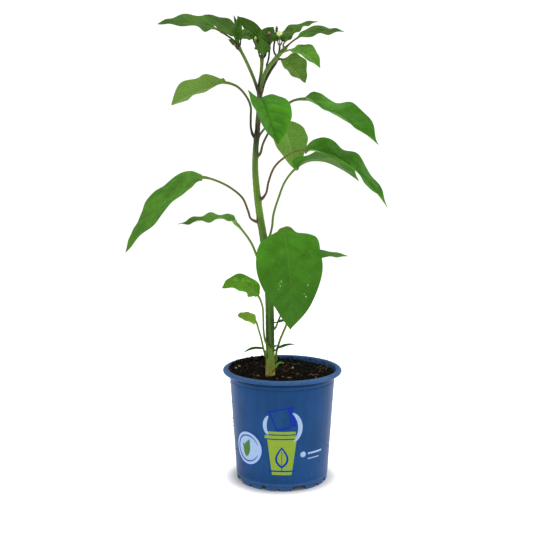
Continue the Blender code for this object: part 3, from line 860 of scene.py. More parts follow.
def make_piece(name: str, shells: Sequence[Shell], finishes: Sequence[Finish],
               crease: float = 55.0) -> bpy.types.Object:
    """Joins shells into one object.

    Args:
        name: The piece's name.
        shells: The closed surfaces.
        finishes: The finishes that the shells' slots name.
        crease: Edges sharper than this many degrees stay crisp.

    Returns:
        The object, linked to the scene.
    """
    points, faces, slots, base = [], [], [], 0
    for shell in shells:
        points.append(shell.points)
        faces += [tuple(base + k for k in face) for face in shell.faces]
        slots += [shell.slot] * len(shell.faces)
        base += len(shell.points)
    mesh = bpy.data.meshes.new(name)
    mesh.from_pydata((np.vstack(points) * MM).tolist(), [], faces)
    mesh.polygons.foreach_set("material_index", slots)
    mesh.polygons.foreach_set("use_smooth", [True] * len(faces))
    for finish in finishes:
        mesh.materials.append(finish.material())
    for note in sorted({key for shell in shells for key in shell.notes}):
        values = np.vstack([
            shell.notes.get(note, np.zeros((len(shell.points), 3))) for shell in shells])
        layer = mesh.attributes.new(note, "FLOAT_VECTOR", "POINT")
        layer.data.foreach_set("vector", values.astype(np.float32).ravel())
    mesh.update()
    mesh.set_sharp_from_angle(angle=math.radians(crease))
    made = bpy.data.objects.new(name, mesh)
    bpy.context.scene.collection.objects.link(made)
    return made


def enrol(piece: bpy.types.Object, slot: str, *nodes: str) -> None:
    """Puts a piece on the frame.

    Args:
        piece: The piece.
        slot: The record's material slot for the piece, which is only logged.
        nodes: The CAD nodes that it stands for.
    """
    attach(piece, "root")
    if nodes:
        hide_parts(*nodes)
    LOG.info("%s: %d faces, slot %s", piece.name, len(piece.data.polygons), slot)


class Curve:
    """A smooth curve through control points, measured along its length."""

    def __init__(self, points: Sequence[Sequence[float]], steps: int = 24) -> None:
        """Runs a smooth line through the points.

        Args:
            points: The control points in millimetres.
            steps: How many straight steps stand for each span.
        """
        knots = np.asarray(points, float)
        spans = np.linalg.norm(np.diff(knots, axis=0), axis=1)
        slopes = np.diff(knots, axis=0) / spans[:, None]
        inner = slopes[:-1] * spans[1:, None] + slopes[1:] * spans[:-1, None]
        inner /= (spans[:-1] + spans[1:])[:, None]
        ends = np.vstack([slopes[:1], inner, slopes[-1:]])
        dense = [knots[0]]
        for index, span in enumerate(spans):
            for step in range(1, steps + 1):
                t = step / steps
                dense.append(
                    (2 * t**3 - 3 * t**2 + 1) * knots[index]
                    + (t**3 - 2 * t**2 + t) * span * ends[index]
                    + (3 * t**2 - 2 * t**3) * knots[index + 1]
                    + (t**3 - t**2) * span * ends[index + 1])
        self.dense = np.array(dense)
        strides = np.linalg.norm(np.diff(self.dense, axis=0), axis=1)
        self.along = np.concatenate([[0.0], np.cumsum(strides)])
        self.length = float(self.along[-1])
        self.marks = self.along[::steps]

    def points(self, distances: Array) -> Array:
        """The places at distances along the curve, one per row."""
        return np.stack([np.interp(distances, self.along, self.dense[:, k]) for k in range(3)], -1)

    def headings(self, distances: Array) -> Array:
        """The directions of the curve at distances along it.

        Args:
            distances: Distances in millimetres.

        Returns:
            One unit vector per row.
        """
        step = min(0.8, self.length / 40)
        ahead = (self.points(np.minimum(distances + step, self.length))
                 - self.points(np.maximum(distances - step, 0.0)))
        return ahead / np.linalg.norm(ahead, axis=1, keepdims=True)

    def at_height(self, height: float) -> float:
        """The distance along the curve where it comes nearest to a height."""
        return float(self.along[int(np.argmin(np.abs(self.dense[:, 2] - height)))])

    def frames(self, distances: Array, up: Sequence[float],
               first: Optional[Array] = None) -> tuple[Array, ...]:
        """Places and directions for rings along the curve.

        Args:
            distances: Distances in millimetres.
            up: The direction that the rings' tops lean toward.
            first: The heading of the first ring, if not the curve's own.

        Returns:
            The middles, and the directions up and across, each one per row.
        """
        middles, ahead = self.points(distances), self.headings(distances)
        if first is not None:
            ahead[0] = first
        top = np.asarray(up, float)
        rise = top - (ahead @ top)[:, None] * ahead
        rise /= np.linalg.norm(rise, axis=1, keepdims=True)
        return middles, rise, np.cross(ahead, rise)


# ---------- shoots


@dataclass
class Stem:
    """A ribbed round shoot through a path of points with a radius at each.

    The flare is how much wider it grows at its foot, as a share.
    """

    path: list
    radii: list
    tone: StemTone
    ribs: int = 4
    ring_gap: float = 1.5
    around: int = 24
    domed: bool = True
    flare: float = 0.0
    curve: Curve = field(init=False)
    joints: list = field(default_factory=list)

    def __post_init__(self) -> None:
        """Lays the curve through the path."""
        self.curve = Curve(self.path)

    def radius(self, distances: Union[float, Array]) -> Array:
        """Radius at distances along the shoot."""
        return np.interp(distances, self.curve.marks, self.radii)

    def joint(self, height: float, side: Triple, toward: Triple,
              thick: float) -> tuple[Array, Array, Array]:
        """Where a stalk leaves the shoot.

        Args:
            height: The height of the joint.
            side: The way that the stalk leaves.
            toward: The point that it makes for.
            thick: Radius of the stalk.

        Returns:
            A root inside the shoot, the first point clear of it, and the way out.
        """
        distance = np.array([self.curve.at_height(height)])
        middle, ahead = self.curve.points(distance)[0], self.curve.headings(distance)[0]
        out = square_to(side, ahead)
        radius = float(self.radius(distance)[0])
        climb = ahead * float(unit(np.array(toward) - middle) @ ahead) * thick
        return (middle + out * radius * 0.35 - climb * 2.4,
                middle + out * (radius + GAP + 0.7 * thick) + climb * 1.2, out)

    def build(self, name: str, root: float) -> bpy.types.Object:
        """Makes the shoot.

        Args:
            name: The piece's name.
            root: How far its foot runs on into what it grows from.

        Returns:
            The piece.
        """
        length = self.curve.length
        distances = np.linspace(0.0, length, int(length / self.ring_gap) + 2)
        middles, rise, across = self.curve.frames(distances, (1.0, 0.15, 0.05))
        ahead = self.curve.headings(distances)
        radii = self.radius(distances)
        foot = middles[0] - ahead[0] * root
        middles = np.vstack([foot, middles])
        rise, across, ahead = (np.vstack([part[:1], part]) for part in (rise, across, ahead))
        radii = np.concatenate([radii[:1] * 0.9, radii])
        if self.domed:
            cap = np.array([0.35, 0.65, 0.86]) * radii[-1] * 0.7
            middles = np.vstack([middles, middles[-1] + np.outer(cap, ahead[-1])])
            rise, across = (np.vstack([part, part[-1:].repeat(3, 0)]) for part in (rise, across))
            radii = np.concatenate([radii, radii[-1] * np.array([0.92, 0.74, 0.46])])
        turns = round_turns(self.around)
        heights = middles[:, 2:3]
        ridge = np.cos(self.ribs * (turns[None, :] + 0.0035 * (heights - 100.0)))
        out = spokes(turns, rise, across)
        lumps = 0.02 * np.sin(0.9 * heights + 3 * turns[None, :])
        swell = np.zeros_like(ridge)
        blush = np.zeros_like(ridge)
        for height, side, strength in self.joints:
            facing = 0.5 + 0.5 * (out @ unit(side))
            near = hump(heights - height, 3.2) * facing ** 2
            swell += 0.16 * near * strength
            blush = np.maximum(blush, hump(heights - height - 1.5, 3.4) * facing ** 3 * strength)
        swell = swell + self.flare * hump(heights - heights.min(), 18.0) * (1 + 0.3 * ridge)
        size = radii[:, None] * (1.0 + 0.035 * ridge + lumps + swell)
        rings = middles[:, None, :] + size[..., None] * out
        notes = np.stack([np.broadcast_to(heights, ridge.shape), blush, ridge], -1)
        shell = loft(rings, {"bark": notes},
                     middles[-1] + ahead[-1] * radii[-1] * 0.3 if self.domed else None)
        return make_piece(name, [shell], [self.tone.value], 80.0)


@dataclass(frozen=True)
class Bump:
    """A bump on a leaf's outline.

    Attributes:
        at: Place along the blade, from 0 to 1.
        way: Which half it is on: 1, -1, or 0 for both.
        wider: How much wider the blade is there, in millimetres.
        higher: How much higher it is there, in millimetres.
        long: How far it reaches along the blade, as a share.
    """

    at: float
    way: int
    wider: float
    higher: float = 0.0
    long: float = 0.12


@dataclass
class Leaf:
    """A leaf with its stalk, which leaves a host at a height and toward a side.

    Attributes:
        host: The shoot that it grows on.
        height: Where it leaves the host.
        side: The way that it leaves.
        stalk: Points along the stalk.
        rib: Points along the blade's middle rib.
        width: Width of the blade.
        up: The way that the upper face looks.
        tone: Its finish.
        fold: How far each half folds up, in degrees.
        curl: How far the edges curl, as a share of the width.
        wave: Height of the waves of the edge.
        waves: How many waves there are.
        stalk_radius: Radius of the stalk.
        shape: How the outline swells at the base and narrows to the tip.
        veins: How many side veins each half has.
        pillow: How far the face bulges between veins.
        spur: Height of the small turned-up lobe at the base.
        shoulder: How much thicker the stalk grows where it meets the blade, as a share.
        edges: Bumps of the outline.
        slot: The record's material slot.
    """

    host: str
    height: float
    side: Triple
    stalk: list
    rib: list
    width: float
    up: Triple
    tone: LeafTone = LeafTone.MID
    fold: float = 10.0
    curl: float = 0.0
    wave: float = 1.0
    waves: float = 2.5
    stalk_radius: float = 1.1
    shape: tuple[float, float] = (0.6, 1.05)
    veins: int = 6
    pillow: float = 0.45
    spur: float = 0.0
    shoulder: float = 0.15
    edges: tuple[Bump, ...] = ()
    slot: str = "leaf"

    def seat(self, host: Stem) -> tuple[Array, Array, Array]:
        """Where the stalk starts.

        Args:
            host: The shoot that it grows on.

        Returns:
            A root inside the host, the first point clear of it, and the way out.
        """
        end = host.curve.dense[-1]
        if self.height >= end[2] - 0.3:
            ahead = host.curve.headings(np.array([host.curve.length]))[0]
            return end - ahead * 1.6, end + ahead * (GAP + 0.05 + 1.4 * self.stalk_radius), ahead
        return host.joint(self.height, self.side, self.stalk[0], self.stalk_radius)

    def half_width(self, part: Array) -> Array:
        """Half the blade's width at shares of its length.

        Args:
            part: Shares of the blade's length, from 0 to 1.

        Returns:
            Half widths in millimetres.
        """
        rise, fall = self.shape
        peak = rise / (rise + fall)
        tallest = peak**rise * (1 - peak) ** fall
        swell = part**rise * (1 - part) ** fall / tallest
        return (0.5 * self.width * swell
                + self.stalk_radius * (1 + self.shoulder) * (1 - part) ** 4)

    def build(self, name: str, host: Stem) -> bpy.types.Object:
        """Makes the leaf.

        Args:
            name: The piece's name.
            host: The shoot that it grows on.

        Returns:
            The piece.
        """
        root, first, out = self.seat(host)
        curve = Curve([root, first, *self.stalk, *self.rib])
        blade_from = float(curve.marks[1 + len(self.stalk)])
        blade_long = curve.length - blade_from
        columns = 33 if self.width > 24 else 21 if self.width > 9 else 11
        stalk_rows = max(6, int(blade_from / 1.8))
        blade_rows = max(14, min(96, int(blade_long / 1.15)))
        t = np.linspace(0.0, 1.0, blade_rows + 1)[1:]
        part = (t - 0.09 * np.sin(2 * math.pi * t) / math.pi) * 0.992
        lead_in = np.linspace(0.0, 1.0, stalk_rows + 1)
        distances = np.concatenate([lead_in * blade_from, blade_from + blade_long * part])
        part = np.concatenate([np.zeros(stalk_rows + 1), part])[:, None]
        middles, rise, across = curve.frames(distances, self.up, out)
        travel = distances[:, None]

        spots = np.linspace(-1.0, 1.0, columns)
        angles = math.pi * (np.arange(columns) + 0.5) / columns
        form = ease(part, 0.0, 0.07)
        q = -np.cos(angles)[None, :] * (1 - form) + (spots * (0.78 + 0.22 * spots**2)) * form
        flat = np.abs(q)
        collar = (1.0 + 0.55 * hump(travel - 2.0, 4.2 * self.stalk_radius)
                  + self.shoulder * ease(travel, blade_from - 9.0, blade_from))
        half = np.where(part > 0, self.half_width(part), self.stalk_radius * collar)
        raised = np.zeros_like(q)
        for edge in self.edges:
            near = hump(part - edge.at, edge.long) * form * (q * edge.way > 0 if edge.way else 1)
            half = half + edge.wider * near
            raised += edge.higher * near * (q**2 if edge.way else 1.0)
        reach = q * half
        fold = math.radians(self.fold)
        ripple = self.wave * q**2 * np.sin(
            2 * math.pi * self.waves * part + np.where(q < 0, 1.3, 0.0))
        lift = half * (flat * math.sin(fold) + self.curl * q**2)
        lift = lift + ripple * np.minimum(1.0, half / 6.0)
        lift = form * (lift + raised + self.relief(part, q, half, blade_long))
        spread = reach * (1.0 - form + form * math.cos(fold))
        lobe = self.spur * hump(part - 0.035, 0.03) * hump(flat - 1.0, 0.45)

        ridge = 0.95 * self.stalk_radius * (1 - part) ** 1.2 * hump(
            reach, 0.75 * self.stalk_radius + 0.25)
        groove = 0.3 * np.minimum(1.0, half / 5.0) * hump(reach, 1.0)
        skin = 0.16
        bulge = np.sin(angles)[None, :] * self.stalk_radius * collar
        above = bulge * (1 - form) + (skin - groove) * form
        below = bulge * (1 - form) + (skin + ridge) * form

        def place(offset: Array) -> Array:
            """The face's points, offset along its up direction."""
            return (middles[:, None, :] + across[:, None, :] * spread[..., None]
                    + rise[:, None, :] * (lift + lobe + offset)[..., None])

        rings = np.concatenate([place(above), place(-below)[:, ::-1]], 1)
        phase = (part - 0.2 * flat**1.3) * self.veins
        spacing = np.full_like(q, blade_long / self.veins)
        blade = np.stack([q, phase, spacing], -1)
        along = np.where(part > 0, 1.0 + part / 0.06, travel / blade_from)
        notes = {
            "blade": np.concatenate([blade, blade[:, ::-1]], 1),
            "limb": np.concatenate([
                np.stack([np.broadcast_to(np.full_like(q, way), q.shape),
                          np.broadcast_to(along, q.shape), reach], -1)[:, ::way]
                for way in (1, -1)], 1),
        }
        tip = curve.points(np.array([curve.length]))[0]
        return make_piece(name, [loft(rings, notes, tip)], [self.tone.value])

    def relief(self, part: Array, q: Array, half: Array, blade_long: float) -> Array:
        """The small rise and fall of the blade's face.

        Args:
            part: Shares of the blade's length.
            q: Shares of the half width, from -1 to 1.
            half: Half widths in millimetres.
            blade_long: Length of the blade.

        Returns:
            Heights in millimetres.
        """
        flat = np.abs(q)
        phase = (part - 0.2 * flat**1.3) * self.veins + 0.45 * (q > 0)
        bulge = np.sin(math.pi * (phase - 0.5)) ** 2
        reach = flat * half
        fade = (1 - flat**4) * ease(reach, 0.0, 3.0) * (1 - part**4)
        seed = self.height * 0.37 + self.width
        x, y = q * half, part * blade_long
        swell = (np.sin(0.21 * x + seed) * np.cos(0.16 * y + 2.1 * seed)
                 + 0.5 * np.sin(0.37 * y - 0.29 * x + seed))
        size = np.minimum(1.0, half / 12.0)
        return size * (self.pillow * bulge * fade + 0.42 * swell * ease(reach, 0.0, 5.0))


@dataclass
class Bud:
    """A flower bud on its own thin stalk, which leaves a host like a leaf does."""

    host: str
    height: float
    side: Triple
    stalk: list
    radius: float
    length: float
    stalk_radius: float
    tone: BudTone
    lean: Triple = (0.0, 0.0, 1.0)

    def build(self, name: str, host: Stem) -> bpy.types.Object:
        """Makes the bud.

        Args:
            name: The piece's name.
            host: The shoot that it grows on.

        Returns:
            The piece.
        """
        root, first, _ = host.joint(self.height, self.side, self.stalk[0], self.stalk_radius)
        curve = Curve([root, first, *self.stalk])
        turns = round_turns(20)
        distances = np.linspace(0.0, curve.length, 18)
        middles, rise, across = curve.frames(distances, (1.0, 0.3, 0.2))
        thick = self.stalk_radius * (1.0 + 0.5 * hump(distances, 2.0)
                                     + 0.6 * hump(distances - curve.length, 1.2))
        share = np.broadcast_to((distances / curve.length)[:, None], (18, 20))
        plain = np.zeros_like(share)
        shells = [loft(middles[:, None] + spokes(turns, rise, across) * thick[:, None, None],
                       {"bud": np.stack([share, plain, plain], -1)})]
        lean = unit(self.lean)
        side = square_to((1.0, 0.2, 0.1), lean)
        other = np.cross(lean, side)
        ring = np.cos(turns)[:, None] * side + np.sin(turns)[:, None] * other
        top = middles[-1]
        parts = np.linspace(0.03, 0.985, 16)[:, None]
        folds = np.abs(np.sin(2.5 * turns + 2.2 * parts))
        size = self.radius * np.sin(math.pi * parts**0.92) ** 0.7 * (0.93 + 0.07 * folds)
        rings = top + lean * self.length * parts[..., None] + ring[None] * size[..., None]
        # The second note marks the creases between petals, which get painted shade.
        notes = np.stack([1.2 + parts + 0 * folds, 1 - folds, 0 * folds], -1)
        shells.append(loft(rings, {"bud": notes}, top + lean * self.length))
        parts = np.linspace(0.0, 0.5, 9)[:, None]
        points = 0.5 + 0.5 * np.cos(5 * turns)
        level = parts * (0.55 + 0.45 * points)
        size = self.radius * (0.25 + 0.87 * ease(parts, 0.0, 0.26)) * (
            np.sin(math.pi * np.clip(level, 0.16, 0.5)) ** 0.5)
        rings = (top + lean * (self.length * level[..., None] - 0.3)
                 + ring[None] * (size + 0.12)[..., None])
        both = np.concatenate([rings, rings[::-1] - ring[None] * 0.22 + lean * 0.08])
        shells.append(loft(both, {"bud": np.tile((1.0, 0.0, 0.0), (*both.shape[:2], 1))}))
        return make_piece(name, shells, [self.tone.value], 70.0)


FORK_TOP = 389.3


@dataclass
class Plant:
    """The shoots, leaves and buds by name.

    Scales are tiny crown leaves with no node of their own. Roots say how far a shoot's foot
    runs into what it grows from, where it isn't the usual way.
    """

    stems: dict = field(default_factory=lambda: {
        "main_stem": Stem([(-12, -9, 92), (-12, -9, 112), (-12.4, -9, 150), (-13, -8.5, 183),
            (-15, -8, 213), (-18.5, -7, 243), (-22.5, -6, 268), (-25.5, -5.5, 292),
            (-27, -5, 314), (-26.5, -5, 332), (-24.8, -4.5, 350), (-23.6, -4, 368),
            (-22.6, -4, 382), (-22.3, -4, FORK_TOP)], [4, 4.3, 4.2, 4.1, 4, 3.8, 3.6, 3.4, 3.1,
            2.9, 2.7, 2.4, 2.4, 3.7], StemTone.MAIN, around=32, flare=0.18),
        "branch_left": Stem([(-24.7, -4.8, 389.6), (-25.4, -4.9, 392), (-32.5, -6, 410),
            (-39.5, -8, 424), (-44, -9, 431.5)], [1.6, 1.6, 1.6, 1.5, 1.9], StemTone.LEFT, 3, 1.2,
            20),
        "branch_middle": Stem([(-23.1, -1.6, 389.6), (-23, -1.6, 392), (-20.9, -3, 407),
            (-20, -5, 422)], [1.6, 1.6, 1.6, 1.9], StemTone.LEFT, 3, 1.2, 20),
        "branch_right_front": Stem([(-21.4, -6.4, 389.6), (-21, -6.8, 392), (-15.8, -10, 407),
            (-8.6, -12, 416.5), (0, -15, 425.5), (2.3, -16, 427.8)], [1.6, 1.7, 2, 2, 1.8, 2.1],
            StemTone.FRONT, 3, 1.2, 20),
        "branch_right_rear": Stem([(-19.9, -3.1, 389.6), (-19.4, -2.9, 392), (-12.6, 0, 407),
            (-5.8, 2, 418), (-3.4, 2, 427), (-3, 1, 433)], [1.6, 1.6, 1.5, 1.4, 1, 0.9],
            StemTone.DARK, 3, 1.2, 20),
    })
    leaves: dict = field(default_factory=lambda: {
        "leaf_front_large": Leaf("main_stem", 231, (0.5, -0.85, 0.1),
            [(-9, -21, 245), (-1, -30, 256)], [(2.5, -41, 245), (6, -50, 219), (8, -53, 191),
            (7, -48, 161)], 62, (-0.05, -0.85, 0.5), LeafTone.FRONT, 4, -0.1, 1.2,
            shape=(0.66, 1.08), veins=7, pillow=0.6, edges=(Bump(0.03, -1, -5, -6, 0.07),
            Bump(0.17, -1, 4, 1.5, 0.09), Bump(0.03, 1, -2.5, -2, 0.06),
            Bump(0.16, 1, 1.5, 0, 0.08), Bump(0.45, -1, 0.8))),
        "leaf_front_upper": Leaf("main_stem", 358, (0, -1, 0.2), [(-24, -16, 370),
            (-25, -27, 379)], [(-20, -36, 377), (-14, -46, 363), (-10, -52, 351), (-5, -55, 336)],
            46, (0.5, -0.75, 0.55), LeafTone.FOLDED, 28, -0.1, shape=(0.65, 0.92),
            edges=(Bump(0.02, 1, 3, 1), Bump(0.3, -1, 1.5, 0.5), Bump(0.6, -1, 1.5, 0),
            Bump(0.62, 1, -2, 0))),
        "leaf_rear_centre": Leaf("main_stem", 343, (0.35, 0.9, 0.2),
            [(-19, 7, 351), (-11, 18, 359), (-2, 27, 358)], [(6, 36, 344), (10.5, 40, 329),
            (14, 40, 311)], 34, (0.2, 0.85, 0.5), LeafTone.UPPER, 8, shape=(0.7, 1),
            edges=(Bump(0.25, 1, 3, 0), Bump(0.45, 1, 2, 0), Bump(0.65, -1, -2, 0))),
        "leaf_right_upper": Leaf("main_stem", 326, (0.95, -0.1, 0.3),
            [(-20, -5, 336), (-13, -5, 350), (-1, -6, 369), (9, -8, 378), (21, -10, 380)],
            [(40, -14, 371), (59, -18, 360), (76, -20, 349), (92, -20, 336)], 37,
            (0.45, -0.44, 0.77), LeafTone.UPPER, 20, wave=1.5, spur=2.2, shoulder=0.4,
            edges=(Bump(0.12, -1, 0.5, 0.8, 0.08), Bump(0.32, -1, -1, -2.5, 0.08),
            Bump(0.5, -1, 2.5, 3), Bump(0.63, -1, 3, 3), Bump(0.77, -1, 3, 2.5),
            Bump(0.5, 1, 0.5, 1, 0.3))),
        "leaf_right_middle": Leaf("main_stem", 283, (0.97, -0.2, 0.1),
            [(-17, -7, 288), (-14, -8, 300), (-8, -11, 315), (3, -15, 325), (21, -18, 331)],
            [(37, -21, 330), (54, -24, 323), (72, -26, 310), (87, -26, 294), (101, -24, 276)], 38,
            (0.5, -0.44, 0.72), LeafTone.BLUSH, 20, wave=1.5, shape=(0.42, 1), veins=7,
            shoulder=0.3, edges=(Bump(0.02, -1, 0, -2), Bump(0.18, -1, 0.5, 2.5, 0.08),
            Bump(0.33, -1, -2, -3, 0.08), Bump(0.55, -1, -1, 0.5, 0.08),
            Bump(0.68, -1, -0.8, -0.5, 0.07), Bump(0.45, 1, 3, 0, 0.16),
            Bump(0.65, 1, 5, 0, 0.22))),
        "leaf_right_rear": Leaf("main_stem", 243, (0.95, 0.3, 0.1),
            [(-11, -3, 253), (-9, 1, 268), (-4, 5, 284), (3, 9, 301), (12, 12, 312)],
            [(25, 14, 320), (42, 17, 320), (60, 19, 312), (77, 20, 300.5)], 36,
            (0.35, -0.12, 0.85), LeafTone.REAR, 22, wave=1.2, edges=(Bump(0.26, -1, -5, -1, 0.12),
            Bump(0.8, -1, 4, 2, 0.16))),
        "leaf_right_low": Leaf("main_stem", 154, (0.95, 0.2, 0.2), [(-4, -4, 162), (0, 0, 171),
            (7, 6, 188), (15, 11, 208), (25, 16, 222)], [(38, 20, 226), (54, 24, 225),
            (68, 26, 223.5)], 19, (0, -0.3, 1), LeafTone.MID, 4, wave=0.5, stalk_radius=0.9),
        "leaf_left_upper": Leaf("main_stem", 344, (-0.95, -0.3, 0.1),
            [(-30.5, -8, 350), (-31, -9, 361), (-31, -11, 372), (-36, -12, 383), (-45, -14, 392),
            (-55, -16, 395)], [(-71, -24, 390), (-88, -32, 383), (-105, -36, 373)], 31,
            (-0.2, 0.5, 0.85), LeafTone.PALE, 20, wave=0.5, shape=(0.85, 0.8), spur=2.6,
            edges=(Bump(0.1, -1, -1, -1), Bump(0.28, -1, 0.5, 1), Bump(0.5, -1, 0, -1.2, 0.08),
            Bump(0.72, -1, 2, 1.5), Bump(0.18, 1, 2))),
        "leaf_left_long": Leaf("main_stem", 262, (-0.97, -0.2, 0.05),
            [(-31, -7, 264), (-34, -7.5, 272), (-39, -8, 284), (-50, -10, 294), (-63, -12, 301),
            (-78, -14, 305)], [(-92, -18, 302), (-109, -24, 289), (-126, -28, 270),
            (-141, -30, 249), (-152, -30, 233)], 46, (-0.61, -0.48, 0.61), LeafTone.LONG, 6,
            wave=1.3, veins=7, shoulder=0.5, edges=(Bump(0.15, 1, -2, 0), Bump(0.3, 1, -1, 0),
            Bump(0.25, -1, 1, 0))),
        "leaf_left_small": Leaf("main_stem", 209, (-0.97, 0, 0.2), [(-22, -8, 217),
            (-26, -8, 228), (-31, -8, 240), (-39, -10, 252), (-46, -12, 260)],
            [(-59, -16, 265), (-75, -20, 265), (-90, -23, 263), (-102, -24, 260)], 26,
            (-0.1, -0.2, 1), LeafTone.SMALL, 10, wave=1.8, waves=3, stalk_radius=1, spur=2.4,
            shoulder=0.8, edges=(Bump(0.15, 0, 0, 1), Bump(0.45, 0, 0, -1.3),
            Bump(0.75, 0, 0, -1.6))),
        "leaf_top_left": Leaf("branch_left", 432, (-0.7, -0.25, 0.7),
            [(-54, -12, 440), (-65, -16, 446)], [(-79, -20, 449.5), (-97, -26, 450.5),
            (-118, -30, 448)], 27, (-0.05, -0.55, 0.83), LeafTone.CROWN, 8, stalk_radius=0.9,
            edges=(Bump(0.14, 1, 4, 0.5), Bump(0.2, -1, 1.5, -1.5, 0.08))),
        "leaf_top_left_rear": Leaf("branch_left", 429, (-0.2, 0.95, 0.2),
            [(-44, -3, 435), (-47, 2, 441)], [(-54, 8, 448), (-65, 15, 457), (-78, 20, 464)], 22,
            (0, -0.5, 0.85), LeafTone.CROWN, 10, stalk_radius=0.7),
        "leaf_top_left_young": Leaf("branch_left", 430.3, (0.3, -0.9, 0.3), [(-43.5, -11.3, 434)],
            [(-44.5, -10.6, 441), (-43, -10, 451), (-43, -8, 459)], 10, (0.3, -0.85, 0.1),
            LeafTone.YOUNG, 35, wave=0.5, stalk_radius=0.7),
        "leaf_top_left_inner": Leaf("branch_left", 430, (0.9, 0.4, 0.3),
            [(-41, -6.5, 434), (-40, -5, 438)], [(-33.5, -1, 441), (-27, 1, 438.5)], 15,
            (0, -0.8, 0.6), LeafTone.YOUNG, 10, wave=0.5, stalk_radius=0.6),
        "leaf_top_middle_left": Leaf("branch_middle", 420.5, (0.1, 0.8, 0.5),
            [(-20, 1.5, 428), (-21, 3, 436)], [(-28, 5, 446), (-36, 8, 454), (-45, 11, 461)], 13,
            (-0.35, -0.8, 0.3), LeafTone.YOUNG, 10, wave=0.6, stalk_radius=0.7),
        "leaf_top_middle_cup": Leaf("branch_middle", 420, (-0.3, -0.9, 0.1), [(-20, -11, 422)],
            [(-19.5, -14, 424.5), (-20, -16, 430), (-20.5, -15, 437)], 18, (0, 0.95, 0.3),
            LeafTone.YOUNG, 30, wave=0.8, stalk_radius=0.7),
        "leaf_top_middle_rear": Leaf("branch_middle", 421, (0.9, -0.1, 0.4),
            [(-16, -5.5, 427), (-16, -5, 433)], [(-15.5, -4, 438), (-13, -3, 443), (-9, -3, 449)],
            19, (0, -0.9, 0.4), LeafTone.YOUNG, 12, wave=0.6, stalk_radius=0.7),
        "leaf_top_right_rear": Leaf("branch_right_front", 426.5, (-0.2, 0.9, 0.4),
            [(0, -10, 431), (3, -4.5, 436)], [(9, 1, 443), (19.5, 7, 451), (35, 10, 456)], 20,
            (-0.3, -0.45, 0.85), LeafTone.CROWN, 12, stalk_radius=0.7, shape=(0.4, 1),
            edges=(Bump(0.15, 0, 1, 1.5), Bump(0.4, 0, 0.5, 1.5))),
        "leaf_top_right": Leaf("branch_right_front", 428, (0.7, -0.1, 0.7),
            [(7, -18.5, 432), (13, -22, 436)], [(20, -25, 439), (31, -28, 442.5),
            (44, -31, 442.5), (57, -32, 440.5)], 20, (-0.1, -0.5, 0.85), LeafTone.CROWN, 8,
            stalk_radius=0.8, edges=(Bump(0.45, 0, 0, -2), Bump(0.7, 0, 0, -2.2))),
        "leaf_top_right_front": Leaf("branch_right_front", 422, (0.2, -1, 0),
            [(4, -22, 424.5), (8, -26, 425)], [(16, -34, 423), (25, -42, 417), (34, -46, 406)],
            21, (0.1, -0.65, 0.75), LeafTone.SMALL, 15, stalk_radius=0.8),
        "leaf_top_right_low": Leaf("branch_right_front", 419, (0.7, 0.6, -0.3), [(0, -6, 418)],
            [(8, -4, 411), (15, -2, 404), (22, 0, 396)], 33, (0.3, 0.5, 0.8), LeafTone.CROWN, 20,
            stalk_radius=0.8),
        "leaf_base_left_upper": Leaf("main_stem", 141, (-0.75, -0.65, 0.1),
            [(-18.5, -15, 152), (-19, -17, 166), (-20, -20, 180), (-24, -22, 190)],
            [(-33, -25, 199.5), (-45, -29, 203), (-59, -33, 199)], 22, (-0.1, -0.65, 0.75),
            LeafTone.YELLOW, 4, wave=1.2, stalk_radius=1, edges=(Bump(0.02, 0, -3, 0),
            Bump(0.6, 1, 3, 0), Bump(0.8, 1, 2, 0)), slot="leaf_yellow"),
        "leaf_base_left_lower": Leaf("main_stem", 126, (-0.8, -0.6, 0.1),
            [(-18, -14, 132), (-21, -17.5, 146), (-24, -20, 157), (-26.5, -21, 164.5)],
            [(-32.5, -23, 168), (-44, -25, 171)], 18, (0.1, -0.4, 0.95), LeafTone.LIME, 4,
            wave=0.4, stalk_radius=1, shape=(0.22, 0.5), slot="leaf_yellow"),
        "leaf_base_right_hidden": Leaf("main_stem", 122, (0.97, 0.1, 0.1),
            [(-6, -8.5, 130), (-3, -8, 141), (3, -8, 156), (9, -6, 171)],
            [(13, -3, 183), (17, 0, 197), (20, 3, 209)], 16, (0.4, -0.8, 0.3), LeafTone.MID, 8,
            wave=0.6, stalk_radius=1.15),
        "seed_leaf_left": Leaf("main_stem", 131, (-0.98, 0.1, 0.1), [(-19, -8, 133.5)],
            [(-25, -9, 135), (-32, -12, 134.5), (-39, -15, 131.5)], 5, (0, -0.3, 1),
            LeafTone.SEED, 5, wave=0.2, stalk_radius=0.6),
        "seed_leaf_right": Leaf("main_stem", 132, (0.8, -0.6, 0.1), [(-5, -13, 135.5)],
            [(1, -13, 138), (7, -13, 139.5), (13, -13, 139.5)], 5, (0, -0.3, 1), LeafTone.SEED, 5,
            wave=0.2, stalk_radius=0.6),
        "leaf_base_across": Leaf("main_stem", 138.5, (-0.25, -0.95, 0), [(-13, -15.6, 138.6)],
            [(-10, -16, 138.2), (-7, -15.4, 138.4), (-4.5, -14, 139)], 3, (0, -0.6, 0.8),
            LeafTone.SEED, 5, wave=0.1, stalk_radius=0.5),
        "leaf_base_right_scale": Leaf("main_stem", 160.5, (0.85, -0.5, 0.1), [(-4, -11, 162)],
            [(-1, -11, 163), (3, -11, 163)], 4, (0, -0.5, 0.9), LeafTone.SEED, 5, wave=0.1,
            stalk_radius=0.5),
        "sprout": Leaf("main_stem", 112.5, (0.6, -0.8, 0.1), [(-7, -14.5, 116)],
            [(-5, -15, 119.5), (-2, -15.5, 121.5), (2, -16, 121)], 4, (0.2, -0.3, 1),
            LeafTone.YELLOW, 10, wave=0.1, stalk_radius=0.6, slot="leaf_yellow"),
    })
